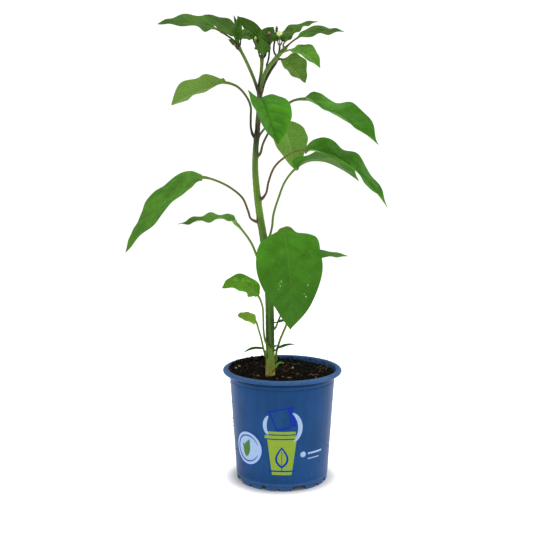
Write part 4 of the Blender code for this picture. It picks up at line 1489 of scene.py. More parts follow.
    buds: dict = field(default_factory=lambda: {
        "bud_middle_left": Bud("branch_middle", 421, (-0.9, 0.3, 0.3),
            [(-24.5, -3.5, 428), (-26.5, -5, 435.5)], 1.3, 4.6, 0.5, BudTone.GREEN),
        "bud_middle_dark": Bud("branch_right_front", 410, (-0.7, 0.4, 0.6),
            [(-14.5, -7, 416), (-13, -8, 427), (-13.5, -8.7, 440)], 1.6, 4, 0.9, BudTone.OLIVE),
        "bud_right_open": Bud("branch_right_rear", 432, (0.1, -0.9, 0.3),
            [(-3.2, -3.5, 435), (-3.2, -6, 440)], 3.1, 5.6, 0.6, BudTone.CREAM,
            (-0.1, -0.6, 0.8)),
        "bud_right_rear": Bud("branch_right_rear", 421, (-0.85, 0.3, 0.5),
            [(-8.5, 4.5, 426), (-8, 4.5, 437), (-6, 4, 447)], 1.2, 4.2, 0.9, BudTone.OLIVE),
    })
    scales: dict = field(default_factory=lambda: {
        "scale_left_tip": Leaf("branch_left", 430.8, (0.1, 0.6, 0.6), [(-42.6, -6.4, 436)],
            [(-43.4, -5.6, 444), (-45.5, -5.2, 452), (-47.5, -5, 460)], 6, (0.5, -0.85, 0.1),
            LeafTone.YOUNG, 30, wave=0.4, stalk_radius=0.5),
        "scale_left_fork": Leaf("branch_left", 428, (-0.8, -0.5, 0.2), [(-46.5, -10.5, 431)],
            [(-49.5, -11.5, 434), (-52.5, -12, 436.5)], 4.5, (0.1, -0.8, 0.5), LeafTone.CROWN, 20,
            wave=0.3, stalk_radius=0.5),
        "scale_middle_left": Leaf("branch_middle", 420.2, (-0.8, 0.2, 0.5), [(-22.8, -2.6, 426)],
            [(-25, -1.2, 432), (-27.8, -0.5, 437), (-31.5, -0.5, 441)], 7, (0.3, -0.9, 0.3),
            LeafTone.YOUNG, 28, wave=0.9, stalk_radius=0.5),
        "scale_middle_right": Leaf("branch_middle", 420.8, (0.7, 0.4, 0.5), [(-17.4, -1.6, 427)],
            [(-14.5, -0.5, 433), (-10.6, 0, 438), (-7.6, 0, 443)], 7.5, (-0.2, -0.9, 0.3),
            LeafTone.YOUNG, 24, wave=1, stalk_radius=0.5),
        "scale_right_star": Leaf("branch_right_rear", 432.4, (-0.7, 0.3, 0.6), [(-5, 2.4, 436)],
            [(-8, 3.2, 440), (-11.5, 3.2, 443.5), (-14, 3, 448)], 6.5, (0.1, -0.9, 0.4),
            LeafTone.CROWN, 18, wave=0.8, stalk_radius=0.4),
        "scale_right_back": Leaf("branch_right_rear", 432.6, (0.7, 0.5, 0.5), [(-0.8, 3.4, 436)],
            [(2.4, 4.6, 440), (5, 5.2, 444)], 8, (-0.1, -0.9, 0.4), LeafTone.CROWN, 16, wave=0.8,
            stalk_radius=0.4),
    })
    roots: dict = field(default_factory=lambda: {"main_stem": 0})

    def build(self) -> None:
        """Builds every shoot, leaf and bud and puts it on the frame."""
        for part in (*self.leaves.values(), *self.buds.values()):
            strength = 1.0 if part.height > 240 else 0.5 if part.height > 200 else 0.15
            self.stems[part.host].joints.append((part.height, part.side, strength))
        for name, stem in self.stems.items():
            enrol(stem.build(name + "_shoot", self.roots.get(name, 2.4)), "stem", name)
        for name, leaf in self.leaves.items():
            enrol(leaf.build(name + "_blade", self.stems[leaf.host]), leaf.slot, name)
        for name, bud in self.buds.items():
            enrol(bud.build(name + "_flower", self.stems[bud.host]), "bud", name)
        for name, scale in self.scales.items():
            enrol(scale.build(name, self.stems[scale.host]), scale.slot)


# ---------- pot


@dataclass
class Pot:
    """The moulded pot with its rolled lip, raised floor and notched foot.

    Attributes:
        height: Height of the pot.
        rim: Outer radius of the lip.
        lip: Height of the lip.
        wall_top: Outer radius of the wall under the lip.
        foot: Outer radius of the foot.
        wall: Thickness of the wall.
        floor_under: Height of the floor's under face.
        floor: Thickness of the floor.
        centre_foot: Radius of the sunk middle of the floor.
        notch_turn: Degrees from the front to the nearest wide notch.
        notches: Turn, width and height of each notch in a quarter of the foot.
        sides: Even steps round the pot.
    """

    height: float = 113.0
    rim: float = 60.0
    lip: float = 4.6
    wall_top: float = 53.2
    foot: float = 45.9
    wall: float = 1.3
    floor_under: float = 4.8
    floor: float = 1.4
    centre_foot: float = 14.0
    notch_turn: float = 21.0
    notches: tuple = ((0.0, 16.0, 4.2), (-45.0, 6.0, 4.0), (-26.5, 4.0, 2.5), (-63.5, 4.0, 2.5))
    sides: int = 160

    def slope(self) -> float:
        """How far the wall leans out for each millimetre of height."""
        return (self.wall_top - self.foot) / (self.height - self.lip)

    def wall_radius(self, level: Union[float, Array]) -> Union[float, Array]:
        """Outer radius of the wall at a height."""
        return self.foot + level * self.slope()

    def band_radius(self, level: Union[float, Array]) -> Union[float, Array]:
        """Outer radius of the raised band that carries the print, at a height."""
        return self.wall_radius(level) + 0.25 * (1 - (level - 6) / 103)

    def foot_edges(self) -> tuple[Array, Array]:
        """The angles of the columns round the pot and how high the foot is cut at each.

        Returns:
            Angles in radians and heights in millimetres.
        """
        turns = list(np.arange(self.sides) * 2 * math.pi / self.sides)
        spans = []
        for quarter in range(4):
            for turn, wide, high in self.notches:
                middle = math.radians(turn + self.notch_turn + 90.0 * quarter - 90.0)
                reach = 0.5 * wide / self.foot
                spans.append((middle, reach, high))
                for share in (-1.0, -0.97, -0.9, -0.82, 0.82, 0.9, 0.97, 1.0):
                    turns.append(middle + share * reach)
        turns = np.sort(np.mod(np.array(turns), 2 * math.pi))
        keep = np.concatenate([[True], np.diff(turns) > 1e-4])
        turns = turns[keep]
        cut = np.zeros_like(turns)
        for middle, reach, high in spans:
            away = np.abs((turns - middle + math.pi) % (2 * math.pi) - math.pi) / reach
            cut = np.maximum(cut, high * (1.0 - ease(away, 0.86, 0.985)))
        return turns, cut

    def build(self) -> bpy.types.Object:
        """Makes the pot.

        Returns:
            The piece.
        """
        under = self.height - self.lip
        inner_foot = self.foot - self.wall
        floor_top = self.floor_under + self.floor
        slope = self.slope()
        turns, cut = self.foot_edges()
        outline: list[tuple[float, ...]] = []

        def run(points: Sequence[tuple[float, float]], *note: float) -> None:
            """Adds outline points with the same rubbing and lip highlight, inside soil and painted
            shade under the lip.
            """
            outline.extend((radius, level, *note) for radius, level in points)

        run([(self.foot + 0.12 * slope, 0.12)], 0.9, 0.0, 0.0)
        run([(self.wall_radius(level), level) for level in (4.4, 5.2, 5.5)], 0.35, 0.0, 0.0)
        run([(self.wall_radius(5.75) + 0.22, 5.75), (self.wall_radius(6.1) + 0.25, 6.1)],
            0.6, 0.0, 0.0)
        run([(self.band_radius(level), level) for level in np.linspace(8.0, under - 8.4, 24)],
            0.0, 0.0, 0.0)
        # Rings under the lip; the last number is painted shade under the lip.
        for drop, sunk, lip_shade_share in ((6.1, 0.0, 0.0), (5.7, 0.22, 0.4), (5.3, 0.0, 0.0),
                                 (3.6, 0.0, 0.1), (2.8, 0.0, 0.5), (1.9, 0.0, 1.0)):
            run([(self.wall_radius(under - drop) + 0.02 - sunk, under - drop)], 0.0, 0.0, lip_shade_share)
        # The underside of the lip, in full painted shade.
        run([(self.wall_top - 0.03, under - 0.9), (self.wall_top + 0.35, under - 0.2),
             (self.wall_top + 1.2, under + 0.12), (self.rim - 3.0, under + 0.2)], 0.0, 0.0, 1.0)
        # The rolled lip; its first number is a painted highlight that grows toward the top.
        for degrees in range(-80, 91, 10):
            angle = math.radians(degrees)
            run([(self.rim - 2.3 + 2.3 * math.cos(angle),
                  self.height - 2.15 + 2.15 * math.sin(angle))],
                max(0.0, 0.36 + 0.5 * math.sin(angle)), 0.0, 0.0)
        # The top of the lip keeps part of the painted highlight.
        run([(57.0, self.height), (55.6, self.height - 0.02)], 0.5, 0.0, 0.0)
        run([(54.7, self.height - 0.2), (54.15, self.height - 0.7), (54.0, self.height - 1.6)],
            0.4, 0.4, 0.0)
        run([(53.3, 109.8), (52.2, 107.4), (self.wall_top - self.wall, under - 2.0)],
            0.0, 0.9, 0.0)
        run([(inner_foot + level * slope, level) for level in (80.0, 50.0, 25.0, floor_top)],
            0.0, 1.0, 0.0)
        run([(self.centre_foot + 1.2, floor_top), (self.centre_foot, self.floor),
             (0.0, self.floor)], 0.0, 1.0, 0.0)
        run([(0.0, 0.0), (self.centre_foot - 0.4, 0.0), (self.centre_foot + 0.1, 0.3),
             (self.centre_foot + 1.4, self.floor_under)], 0.5, 0.0, 0.0)
        run([(inner_foot + self.floor_under * slope, self.floor_under)], 0.0, 0.0, 0.0)
        run([(inner_foot + 0.12 * slope, 0.12)], 0.5, 0.0, 0.0)
        run([(inner_foot + 0.3, 0.0), (self.foot - 0.2, 0.0)], 0.9, 0.0, 0.0)
        points, notes, rows = [], [], []
        for number, (radius, level, *note) in enumerate(outline):
            if radius == 0.0:
                rows.append([len(points)] * len(turns))
                points.append((0.0, 0.0, level))
                notes.append(note)
                continue
            rows.append(list(range(len(points), len(points) + len(turns))))
            raised = cut if number in (0, *range(len(outline) - 3, len(outline))) else 0 * cut
            reach = radius + raised * slope
            points += list(zip(reach * np.cos(turns), reach * np.sin(turns), level + raised))
            notes += [note] * len(turns)
        faces = []
        for row, after in zip(rows, rows[1:] + rows[:1]):
            for k in range(len(turns)):
                step = (k + 1) % len(turns)
                face = [row[k], row[step], after[step], after[k]]
                face = [index for n, index in enumerate(face) if index != face[n - 1]]
                if len(set(face)) > 2:
                    faces.append(tuple(face))
        shell = Shell(np.array(points), faces, {"mould": np.array(notes)}).outward()
        return make_piece("pot_shell", [shell], [POT_FINISH], 40.0)


@dataclass
class PotPrint:
    """A plain printed motif on the pot: a sprout in a tub, two arcs and a round badge.

    The ink stands proud of the wall, each coat over another a little more, and its back is
    sunk into it. The pitch is the distance between points along and across a shape.
    """

    pot: Pot
    proud: float = 0.1
    coat: float = 0.08
    sunk: float = 0.25
    pitch: float = 1.3

    def wrap(self, across: Array, level: Array, lift: float) -> Array:
        """Lays flat places on the wall.

        Args:
            across: Distances round the wall from the front, to the right.
            level: Heights.
            lift: How far the places stand off the wall.

        Returns:
            Points in millimetres.
        """
        radius = self.pot.band_radius(level)
        angle = across / radius - math.pi / 2
        radius = radius + lift
        return np.stack([radius * np.cos(angle), radius * np.sin(angle), level], -1)

    def patch(self, edges: Edges, ink: int, layer: int) -> Shell:
        """A flat shape between two edges, laid on the wall.

        Args:
            edges: Places along the left and the right edge, as across and height.
            ink: Which ink it wears.
            layer: How many layers of ink lie under it.

        Returns:
            The shell.
        """
        left, right = edges
        widest = np.linalg.norm(right - left, axis=1).max()
        columns = max(3, int(widest / self.pitch) + 2)
        share = np.linspace(0.0, 1.0, columns)[None, :, None]
        flat = left[:, None, :] * (1 - share) + right[:, None, :] * share
        front = self.wrap(flat[..., 0], flat[..., 1], self.proud + self.coat * layer)
        back = self.wrap(flat[..., 0], flat[..., 1], -self.sunk)
        return loft(np.concatenate([front, back[:, ::-1]], 1), slot=ink)

    def disc(self, middle: Pair, radius: float) -> Edges:
        """The edges of a round spot.

        Args:
            middle: Its middle, as across and height.
            radius: Its radius.

        Returns:
            The two edges.
        """
        angles = np.linspace(-0.495 * math.pi, 0.495 * math.pi, 41)
        level = middle[1] + radius * np.sin(angles)
        reach = radius * np.cos(angles)
        return np.stack([middle[0] - reach, level], -1), np.stack([middle[0] + reach, level], -1)

    def arc(self, middle: Pair, radius: Pair, thick: float, start: float, end: float) -> Edges:
        """The edges of a curved stroke with tapered ends.

        Args:
            middle: The middle that it curves round.
            radius: How far away it runs, across and in height.
            thick: Its width at the middle.
            start: Where it starts, in degrees from the right.
            end: Where it ends.

        Returns:
            The two edges.
        """
        share = np.linspace(0.0, 1.0, 40)
        angles = np.radians(start + (end - start) * share)
        way = np.stack([np.cos(angles), np.sin(angles)], -1)
        body = np.array(middle) + way * np.array(radius)
        width = 0.5 * thick * (0.08 + 0.92 * np.sin(math.pi * share) ** 0.5)[:, None]
        return body - way * width, body + way * width

    def leaf(self, foot: Pair, tip: Pair, wide: float, bend: float) -> Edges:
        """The edges of a pointed leaf.

        Args:
            foot: Where it starts.
            tip: Where it ends.
            wide: Its width.
            bend: How far its middle bends to the side.

        Returns:
            The two edges.
        """
        share = np.linspace(0.01, 0.99, 30)[:, None]
        start, end = np.array(foot, float), np.array(tip, float)
        along = (end - start) / np.linalg.norm(end - start)
        side = np.array([-along[1], along[0]])
        spine = start + (end - start) * share + side * bend * np.sin(math.pi * share)
        half = 0.5 * wide * np.sin(math.pi * share**0.8)
        return spine - side * half, spine + side * half

    def bar(self, low: Triple, high: Triple) -> Edges:
        """The edges of a band.

        Args:
            low: Left, right and height of its lower edge.
            high: Left, right and height of its upper edge.

        Returns:
            The two edges.
        """
        rows = max(3, int(abs(high[2] - low[2]) / self.pitch) + 2)
        share = np.linspace(0.0, 1.0, rows)[:, None]
        return tuple(np.array([low[k], low[2]]) * (1 - share)
                     + np.array([high[k], high[2]]) * share for k in (0, 1))

    def tilted_pot(self, foot: Pair, tilt: float) -> list[Edges]:
        """The outline of a plain pot that leans.

        Args:
            foot: Middle of the pot's foot.
            tilt: How far it leans to the right, in radians; to the left below 0.

        Returns:
            The edges of each stroke.
        """
        turn = np.array([[math.cos(tilt), math.sin(tilt)], [-math.sin(tilt), math.cos(tilt)]])
        share = np.linspace(0.0, 1.0, 16)
        strokes = []
        for stroke in (
            ([(-8.8, 22.4), (5.0, 22.2), (17.8, 21.8)], [(-8.8, 20.4), (5.0, 20.4), (17.8, 20.0)]),
            ([(-7.6, 20.6), (-4.2, 0.6)], [(-6.0, 20.6), (-2.8, 0.6)]),
            ([(11.4, 20.2), (9.8, 2.6)], [(16.8, 20.2), (16.0, 0.6)]),
            ([(-4.0, 2.8), (10.0, 3.2)], [(-3.4, 0.0), (10.0, 0.4)]),
        ):
            edges = []
            for edge in stroke:
                knots = np.linspace(0.0, 1.0, len(edge))
                flat = np.stack([np.interp(share, knots, axis) for axis in zip(*edge)], -1)
                edges.append(flat @ turn.T + np.array(foot))
            strokes.append(tuple(edges))
        return strokes

    def build(self) -> list[bpy.types.Object]:
        """Makes the printed motif.

        Returns:
            The tub with its sprout, the round badge and the plain rules.
        """
        lime, sky, navy, green = range(4)
        motifs = {
            "print_tub_and_sprout": [
                (self.bar((-10.4, 8.8, 17), (-15.2, 13.8, 53)), lime, 0),
                (self.bar((-18, 15.4, 54.2), (-17.6, 15, 57.4)), lime, 0),
                (self.bar((-15.6, 13.2, 58.6), (-14.6, 12.4, 61.4)), lime, 0),
                (self.bar((-13.4, 11.9, 20.2), (-14, 12.4, 21.6)), navy, 1),
                *((edges, navy, 0) for edges in self.tilted_pot((-1.6, 61.9), math.radians(-13))),
                (self.arc((-1, 40), (60, 24), 1.4, 90.1, 91.8), navy, 1),
                (self.arc((-1.5, 67.5), (16.2, 15.5), 4, 142, 218), sky, 0),
                (self.arc((0.5, 65), (17, 18), 4.6, 58, -52), sky, 0),
                (self.leaf((-0.8, 24), (-0.9, 46), 13, 0), navy, 1),
                (self.leaf((-0.8, 26.5), (-0.9, 43.5), 9, 0), lime, 2),
                (self.bar((-1.1, -0.6, 21.5), (-1.1, -0.6, 41)), navy, 3)],
            "print_round_badge": [
                (self.disc((-37.6, 40.4), 17.6), navy, 0),
                (self.disc((-37.6, 40.4), 16.6), sky, 1),
                (self.arc((-37.6, 40.4), (13.2, 13.2), 1.5, 20, 340), navy, 2),
                (self.leaf((-40, 31), (-35.2, 50), 9, 1.2), green, 2),
                (self.leaf((-38.4, 33), (-44.8, 44.6), 5.6, -1), green, 3)],
            "print_plain_rules": [
                (self.disc((20.6, 37), 2.9), sky, 0),
                (self.bar((26, 44, 36.4), (26, 44, 38.2)), sky, 0),
                (self.bar((26, 40, 31.4), (26, 40, 32.4)), sky, 0)],
        }
        inks = [ink.value for ink in (Ink.LIME, Ink.SKY, Ink.NAVY, Ink.LEAF)]
        return [make_piece(name, [self.patch(*shape) for shape in shapes], inks, 60.0)
                for name, shapes in motifs.items()]


# ---------- compost


@dataclass
class Compost:
    """The compost in its pot: a lumpy top heaped to the rear left, crumbs and fibres.

    Strays are the crumbs that lie against the lip or cling to the wall. The seed starts the
    random draws.
    """

    pot: Pot
    top: float = 106.8
    heap: float = 4.2
    around: int = 200
    rings: int = 54
    crumbs: int = 1900
    strays: int = 420
    fibres: int = 60
    seed: int = 11

    def level(self, x: Array, y: Array) -> Array:
        """Height of the compost without its fine grain.

        Args:
            x: Places across.
            y: Places in depth.

        Returns:
            Heights in millimetres.
        """
        heap = np.maximum(0.0, (-0.72 * x + 0.45 * y) / 52.0) ** 1.5 * self.heap
        lumps = (0.5 * np.sin(0.31 * x + 1.1) * np.cos(0.27 * y)
                 + 0.35 * np.sin(0.63 * y + 0.5 * x) + 0.25 * np.sin(0.95 * x - 0.4 * y))
        return self.top + heap + lumps + 1.3 * (np.hypot(x, y) / 51.0) ** 8

    def grain(self, x: Array, y: Array) -> Array:
        """Fine lumps on the compost.

        Args:
            x: Places across.
            y: Places in depth.

        Returns:
            Heights in millimetres.
        """
        draws = np.random.default_rng(self.seed)
        total = np.zeros_like(x)
        for size, tall, count in ((4.4, 0.32, 7), (2.3, 0.24, 9), (1.3, 0.16, 10)):
            for _ in range(count):
                turn, start = draws.uniform(0, 2 * math.pi, 2)
                stride = size * draws.uniform(0.75, 1.3)
                total += tall / math.sqrt(count) * 1.6 * np.sin(
                    2 * math.pi * (x * math.cos(turn) + y * math.sin(turn)) / stride + start)
        return total

    def bed(self) -> Shell:
        """The body of the compost.

        Returns:
            The shell.
        """
        slope = self.pot.slope()
        inner = self.pot.foot - self.pot.wall
        floor_top = self.pot.floor_under + self.pot.floor
        turns = round_turns(self.around)
        rows = [(self.pot.centre_foot, floor_top + 0.2),
                *((inner + level * slope - 0.4, level + rise)
                  for level, rise in ((floor_top, 0.2), (60.0, 0.0), (104.0, 0.0)))]
        rings = [np.stack([radius * np.cos(turns), radius * np.sin(turns),
                           np.full_like(turns, height)], -1) for radius, height in rows]
        edge = self.pot.wall_top - self.pot.wall - 0.1
        for radius in np.linspace(edge, 0.6, self.rings):
            x, y = radius * np.cos(turns), radius * np.sin(turns)
            fade = min(1.0, radius / 4.0)
            rings.append(np.stack([x, y, self.level(x, y) + self.grain(x, y) * fade], -1))
        rings = np.stack(rings)
        draws = np.random.default_rng(self.seed + 1)
        dry = draws.uniform(0.0, 0.7, rings.shape[:2])
        notes = np.stack([dry, 0 * dry, 0 * dry], -1)
        tip = np.array([0.0, 0.0, float(self.level(np.zeros(1), np.zeros(1))[0])])
        return loft(rings, {"crumb": notes}, tip)

    def crumb_shells(self) -> list[Shell]:
        """The loose crumbs and specks.

        Returns:
            One shell per crumb.
        """
        draws = np.random.default_rng(self.seed + 2)
        gold = (1 + math.sqrt(5)) / 2
        corners = np.array([(-1, gold, 0), (1, gold, 0), (-1, -gold, 0), (1, -gold, 0),
                            (0, -1, gold), (0, 1, gold), (0, -1, -gold), (0, 1, -gold),
                            (gold, 0, -1), (gold, 0, 1), (-gold, 0, -1), (-gold, 0, 1)], float)
        corners /= np.linalg.norm(corners[0])
        sides = [(0, 11, 5), (0, 5, 1), (0, 1, 7), (0, 7, 10), (0, 10, 11), (1, 5, 9),
                 (5, 11, 4), (11, 10, 2), (10, 7, 6), (7, 1, 8), (3, 9, 4), (3, 4, 2),
                 (3, 2, 6), (3, 6, 8), (3, 8, 9), (4, 9, 5), (2, 4, 11), (6, 2, 10),
                 (8, 6, 7), (9, 8, 1)]
        shells = []
        for number in range(self.crumbs + self.strays):
            reach = 50.6 * math.sqrt(draws.uniform(0.0, 1.0))
            turn = draws.uniform(0, 2 * math.pi)
            size = 0.35 + 0.95 * draws.uniform(0.0, 1.0) ** 3
            stretch = draws.uniform(0.55, 1.3, 3)
            angle = draws.uniform(0, 2 * math.pi, 3)
            dry = draws.uniform(0.0, 1.0)
            bright = 1.0 if draws.uniform() < 0.03 else 0.0
            if bright:
                size *= 0.62
            rough = draws.uniform(0.72, 1.2, (12, 1))
            x, y = reach * math.cos(turn), reach * math.sin(turn)
            at = np.array([x]), np.array([y])
            base = float((self.level(*at) + self.grain(*at))[0])
            if number >= self.crumbs:
                x, y, base, size = self.stray(draws)
                bright = 0.0
            spin = np.array(Matrix.Rotation(angle[0], 3, "X")
                            @ Matrix.Rotation(angle[1], 3, "Y")
                            @ Matrix.Rotation(angle[2], 3, "Z"))
            points = (corners * rough * stretch * size) @ spin.T
            points += (x, y, base + 0.2 * size)
            shells.append(Shell(points, sides, {
                "crumb": np.tile((dry, bright, 0.0), (12, 1))}).outward())
        return shells

    def stray(self, draws: np.random.Generator) -> tuple[float, float, float, float]:
        """A place for a crumb that lies against the lip or clings to the wall.

        Args:
            draws: The source of random numbers.

        Returns:
            Its place and its size.
        """
        if draws.uniform() < 0.1:
            level = draws.uniform(8.0, 106.0)
            turn = draws.choice([math.pi, 0.0]) + draws.normal(0.0, 0.35)
            reach = self.pot.wall_radius(level) + 0.3
            return reach * math.cos(turn), reach * math.sin(turn), level, draws.uniform(0.3, 0.7)
        turn = math.radians(draws.normal(138.0, 34.0))
        reach = draws.uniform(49.5, 54.6)
        top = self.top + 2.4 + 3.6 * math.exp(-((math.degrees(turn) - 138.0) / 46.0) ** 2)
        level = top + (reach - 52.0) * 0.5 + draws.uniform(-1.6, 0.9)
        return (reach * math.cos(turn), reach * math.sin(turn), min(level, 113.2),
                draws.uniform(0.5, 1.5))

    def fibre_shells(self) -> list[Shell]:
        """The fibres and fine roots.

        Returns:
            One shell per fibre.
        """
        draws = np.random.default_rng(self.seed + 3)
        turns = round_turns(5)
        shells = []
        for _ in range(self.fibres):
            reach = 45.0 * math.sqrt(draws.uniform(0.02, 1.0))
            turn, way, bend = draws.uniform(0, 2 * math.pi, 3)
            long, thick = draws.uniform(3.0, 9.0), draws.uniform(0.12, 0.3)
            dry = 0.86 + 0.14 * draws.uniform()
            share = np.linspace(-0.5, 0.5, 9)
            x = reach * math.cos(turn) + long * share * math.cos(way)
            y = reach * math.sin(turn) + long * share * math.sin(way)
            x = x + 0.8 * np.sin(3.0 * share + bend) * math.sin(way)
            y = y - 0.8 * np.sin(3.0 * share + bend) * math.cos(way)
            z = self.level(x, y) + 0.75 + 0.4 * np.cos(5 * share + bend)
            curve = Curve(np.stack([x, y, z], -1), 4)
            middles, rise, across = curve.frames(np.linspace(0, curve.length, 12),
                                                 (0.1, 0.05, 1.0))
            size = thick * np.sqrt(np.maximum(0.15, 1 - (2 * np.linspace(-0.5, 0.5, 12)) ** 2))
            rings = middles[:, None] + spokes(turns, rise, across) * size[:, None, None]
            notes = np.tile((dry, 0.6 * draws.uniform() ** 2, 0.0), (12, 5, 1))
            shells.append(loft(rings, {"crumb": notes}))
        return shells

    def twig_shells(self) -> list[Shell]:
        """A dead twig that stands by the lip on the right.

        Returns:
            One shell per branch.
        """
        turns = round_turns(7)
        shells = []
        for path, thick in (
            ([(37, 2, 106.5), (38.5, 1, 110.5), (38, 0, 113), (40.5, -1, 116.2)], 0.55),
            ([(38.4, 1, 110.2), (41, 0, 112.2), (43, 1, 112.6)], 0.4),
            ([(45, 12, 107.5), (46.5, 13, 113), (46.2, 13, 118.5), (47.6, 13, 123)], 0.5),
            ([(46.4, 13, 115), (48.6, 13, 117)], 0.4),
            ([(30, -14, 108), (33, -16, 109.6), (36.5, -15, 109)], 0.5),
        ):
            curve = Curve(path, 8)
            places = np.linspace(0.0, curve.length, 16)
            middles, rise, across = curve.frames(places, (0.2, -1.0, 0.1))
            size = thick * (1.0 - 0.5 * places / curve.length + 0.2 * np.sin(places * 2.3))
            rings = middles[:, None] + spokes(turns, rise, across) * size[:, None, None]
            shells.append(loft(rings, {"crumb": np.tile((0.97, 0.3, 0.0), (16, 7, 1))}))
        return shells

    def build(self) -> list[bpy.types.Object]:
        """Makes the compost.

        Returns:
            The body, and the loose crumbs with the fibres.
        """
        return [make_piece("compost_bed", [self.bed()], [COMPOST_FINISH], 180.0),
                make_piece("compost_crumbs",
                           self.crumb_shells() + self.fibre_shells() + self.twig_shells(),
                           [COMPOST_FINISH], 30.0)]


@dataclass
class Litter:
    """The larger bits that lie on the compost, each in its CAD node's box."""

    bits: tuple = (
        ("bark_chip_left", Chip.BARK), ("bark_chip_front", Chip.BARK),
        ("bark_chip_front_right", Chip.BARK), ("bark_chip_right", Chip.RED_BARK),
        ("grit_left", Chip.GRIT), ("grit_far_left", Chip.GRIT), ("seed_case", Chip.SEED))

    def build(self) -> None:
        """Builds each bit in its CAD node's box and puts it on the frame."""
        for number, (node, chip) in enumerate(self.bits):
            low, high = (np.array(corner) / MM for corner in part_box(node))
            middle, half = (low + high) / 2, (high - low) / 2
            up = np.linspace(-0.49 * math.pi, 0.49 * math.pi, 15)[:, None]
            turns = round_turns(26)[None, :]
            lump = (0.88 + 0.09 * np.sin(3 * turns + number + 2 * up)
                    * np.cos(2 * up + number) + 0.05 * np.sin(7 * turns - 4 * up + number))
            rings = np.stack([
                middle[0] + half[0] * lump * np.cos(up) * np.cos(turns),
                middle[1] + half[1] * lump * np.cos(up) * np.sin(turns),
                middle[2] - 0.3 + half[2] * (0.95 * np.sin(up) + 0 * turns
                                             + 0.06 * np.sin(4 * turns + 3 * up))], -1)
            enrol(make_piece(node + "_bit", [loft(rings)], [chip.value], 50.0), "litter", node)


@dataclass
class Dew:
    """Beads of water on the large front leaf, by place across, height and radius."""

    leaf: str = "leaf_front_large_blade"
    beads: tuple = ((-1.6, 208.6, 0.85), (-2.6, 204.2, 0.7), (-3.4, 206.4, 0.5),
                    (23.4, 205.0, 0.75), (21.6, 194.2, 0.8), (19.8, 196.6, 0.5),
                    (-4.6, 201.0, 0.4), (24.6, 208.2, 0.4))

    def build(self) -> Optional[bpy.types.Object]:
        """Makes the beads.

        Returns:
            The piece, or None if no bead found the leaf.
        """
        leaf = bpy.data.objects[self.leaf]
        shells = []
        for x, z, radius in self.beads:
            struck, place, normal, _ = leaf.ray_cast((x * MM, -0.2, z * MM), (0, 1, 0))
            if not struck:
                continue
            out = unit(normal)
            side = square_to((1, 0, 0), out)
            other = np.cross(out, side)
            up = np.linspace(0.1, 0.92, 8)[:, None] * math.pi / 2
            turns = round_turns(16)[None, :]
            wide, tall = np.cos(up - 0.15), np.sin(up - 0.15)
            rings = (np.array(place) / MM - out * 0.1
                     + radius * ((wide * np.cos(turns))[..., None] * side
                                 + (wide * np.sin(turns))[..., None] * other * 1.15
                                 + (0.75 * tall + 0 * turns)[..., None] * out))
            shells.append(loft(rings))
        return make_piece("dew_beads", shells, [DEW], 60.0) if shells else None


# ---------- studio


@dataclass
class Softbox:
    """A square soft light in metres and watts, aimed at a point."""

    name: str
    place: Triple
    aim: Triple
    size: float
    power: float

    def build(self) -> None:
        """Hangs the light."""
        lamp = bpy.data.lights.new(self.name, "AREA")
        lamp.shape = "SQUARE"
        lamp.size = self.size
        lamp.energy = self.power
        made = bpy.data.objects.new(self.name, lamp)
        back = -unit(np.array(self.aim) - np.array(self.place))
        side = unit(np.cross((0.0, 0.0, 1.0) if abs(back[2]) < 0.99 else (0.0, 1.0, 0.0), back))
        pose = np.stack([side, np.cross(back, side), back, self.place], 1)
        made.matrix_world = Matrix([*pose.tolist(), (0.0, 0.0, 0.0, 1.0)])
        bpy.context.scene.collection.objects.link(made)


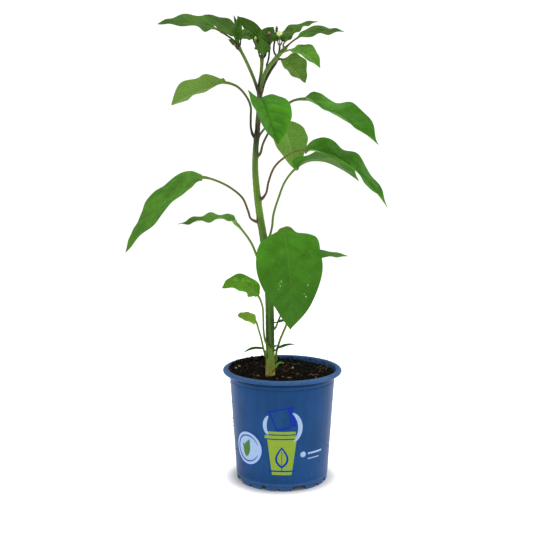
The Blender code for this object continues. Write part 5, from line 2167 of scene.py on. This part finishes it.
@dataclass
class Studio:
    """The floor, the lights and the camera, with lengths in metres and angles in radians.

    The lens is in millimetres on a film 36 mm wide.
    """

    lights: tuple = (
        Softbox("light_top", (0.1, 0.1, 1.6), (0.0, 0.0, 0.1), 1.3, 14.0),
        Softbox("light_left", (-1.3, -0.2, 0.7), (0.0, 0.0, 0.2), 0.9, 4.5),
        Softbox("light_right", (1.2, 0.25, 0.9), (0.0, 0.0, 0.15), 0.8, 7.0),
        Softbox("light_front", (0.25, -1.6, 0.75), (0.0, 0.0, 0.15), 0.8, 4.0),
    )
    sky: float = 0.37
    backdrop: float = 1.1
    floor_size: float = 9.0
    camera_place: Triple = (-0.01065, -0.8953, 0.3282)
    camera_pitch: float = 0.1247
    camera_turn: float = 0.0059
    lens: float = 61.02

    def build(self) -> None:
        """Sets up the stage."""
        scene = bpy.context.scene
        scene.view_settings.view_transform = "Standard"
        world = bpy.data.worlds.new("studio_air")
        scene.world = world
        world.use_nodes = True
        tree = world.node_tree
        tree.nodes.clear()
        pick = tree.nodes.new("ShaderNodeMixShader")
        path = tree.nodes.new("ShaderNodeLightPath")
        tree.links.new(path.outputs["Is Camera Ray"], pick.inputs[0])
        for number, strength in enumerate((self.sky, self.backdrop), 1):
            air = tree.nodes.new("ShaderNodeBackground")
            air.inputs["Color"].default_value = (1.0, 1.0, 1.0, 1.0)
            air.inputs["Strength"].default_value = strength
            tree.links.new(air.outputs[0], pick.inputs[number])
        output = tree.nodes.new("ShaderNodeOutputWorld")
        tree.links.new(pick.outputs[0], output.inputs["Surface"])
        half = self.floor_size / 2
        mesh = bpy.data.meshes.new("floor")
        mesh.from_pydata([(-half, -half, 0), (half, -half, 0), (half, half, 0),
                          (-half, half, 0)], [], [(0, 1, 2, 3)])
        mesh.materials.append(FLOOR_FINISH.material())
        floor = bpy.data.objects.new("floor", mesh)
        floor.location.z = -0.0001
        scene.collection.objects.link(floor)
        for light in self.lights:
            light.build()
        eye = bpy.data.cameras.new("camera")
        eye.sensor_width = 36.0
        eye.lens = self.lens
        eye.clip_end = 30.0
        camera = bpy.data.objects.new("camera", eye)
        camera.location = self.camera_place
        camera.rotation_euler = (math.pi / 2 - self.camera_pitch, 0.0, self.camera_turn)
        scene.collection.objects.link(camera)
        scene.camera = camera


def main() -> None:
    """Builds the stage and every piece."""
    logging.basicConfig(level=logging.INFO, format="%(name)s: %(message)s")
    Studio().build()
    pot = Pot()
    enrol(pot.build(), "pot", "pot")
    for piece in PotPrint(pot).build():
        enrol(piece, "pot")
    bed, crumbs = Compost(pot).build()
    enrol(bed, "compost", "compost")
    enrol(crumbs, "compost")
    Litter().build()
    Plant().build()
    beads = Dew().build()
    if beads:
        enrol(beads, "leaf")


if __name__ == "__main__":
    main()
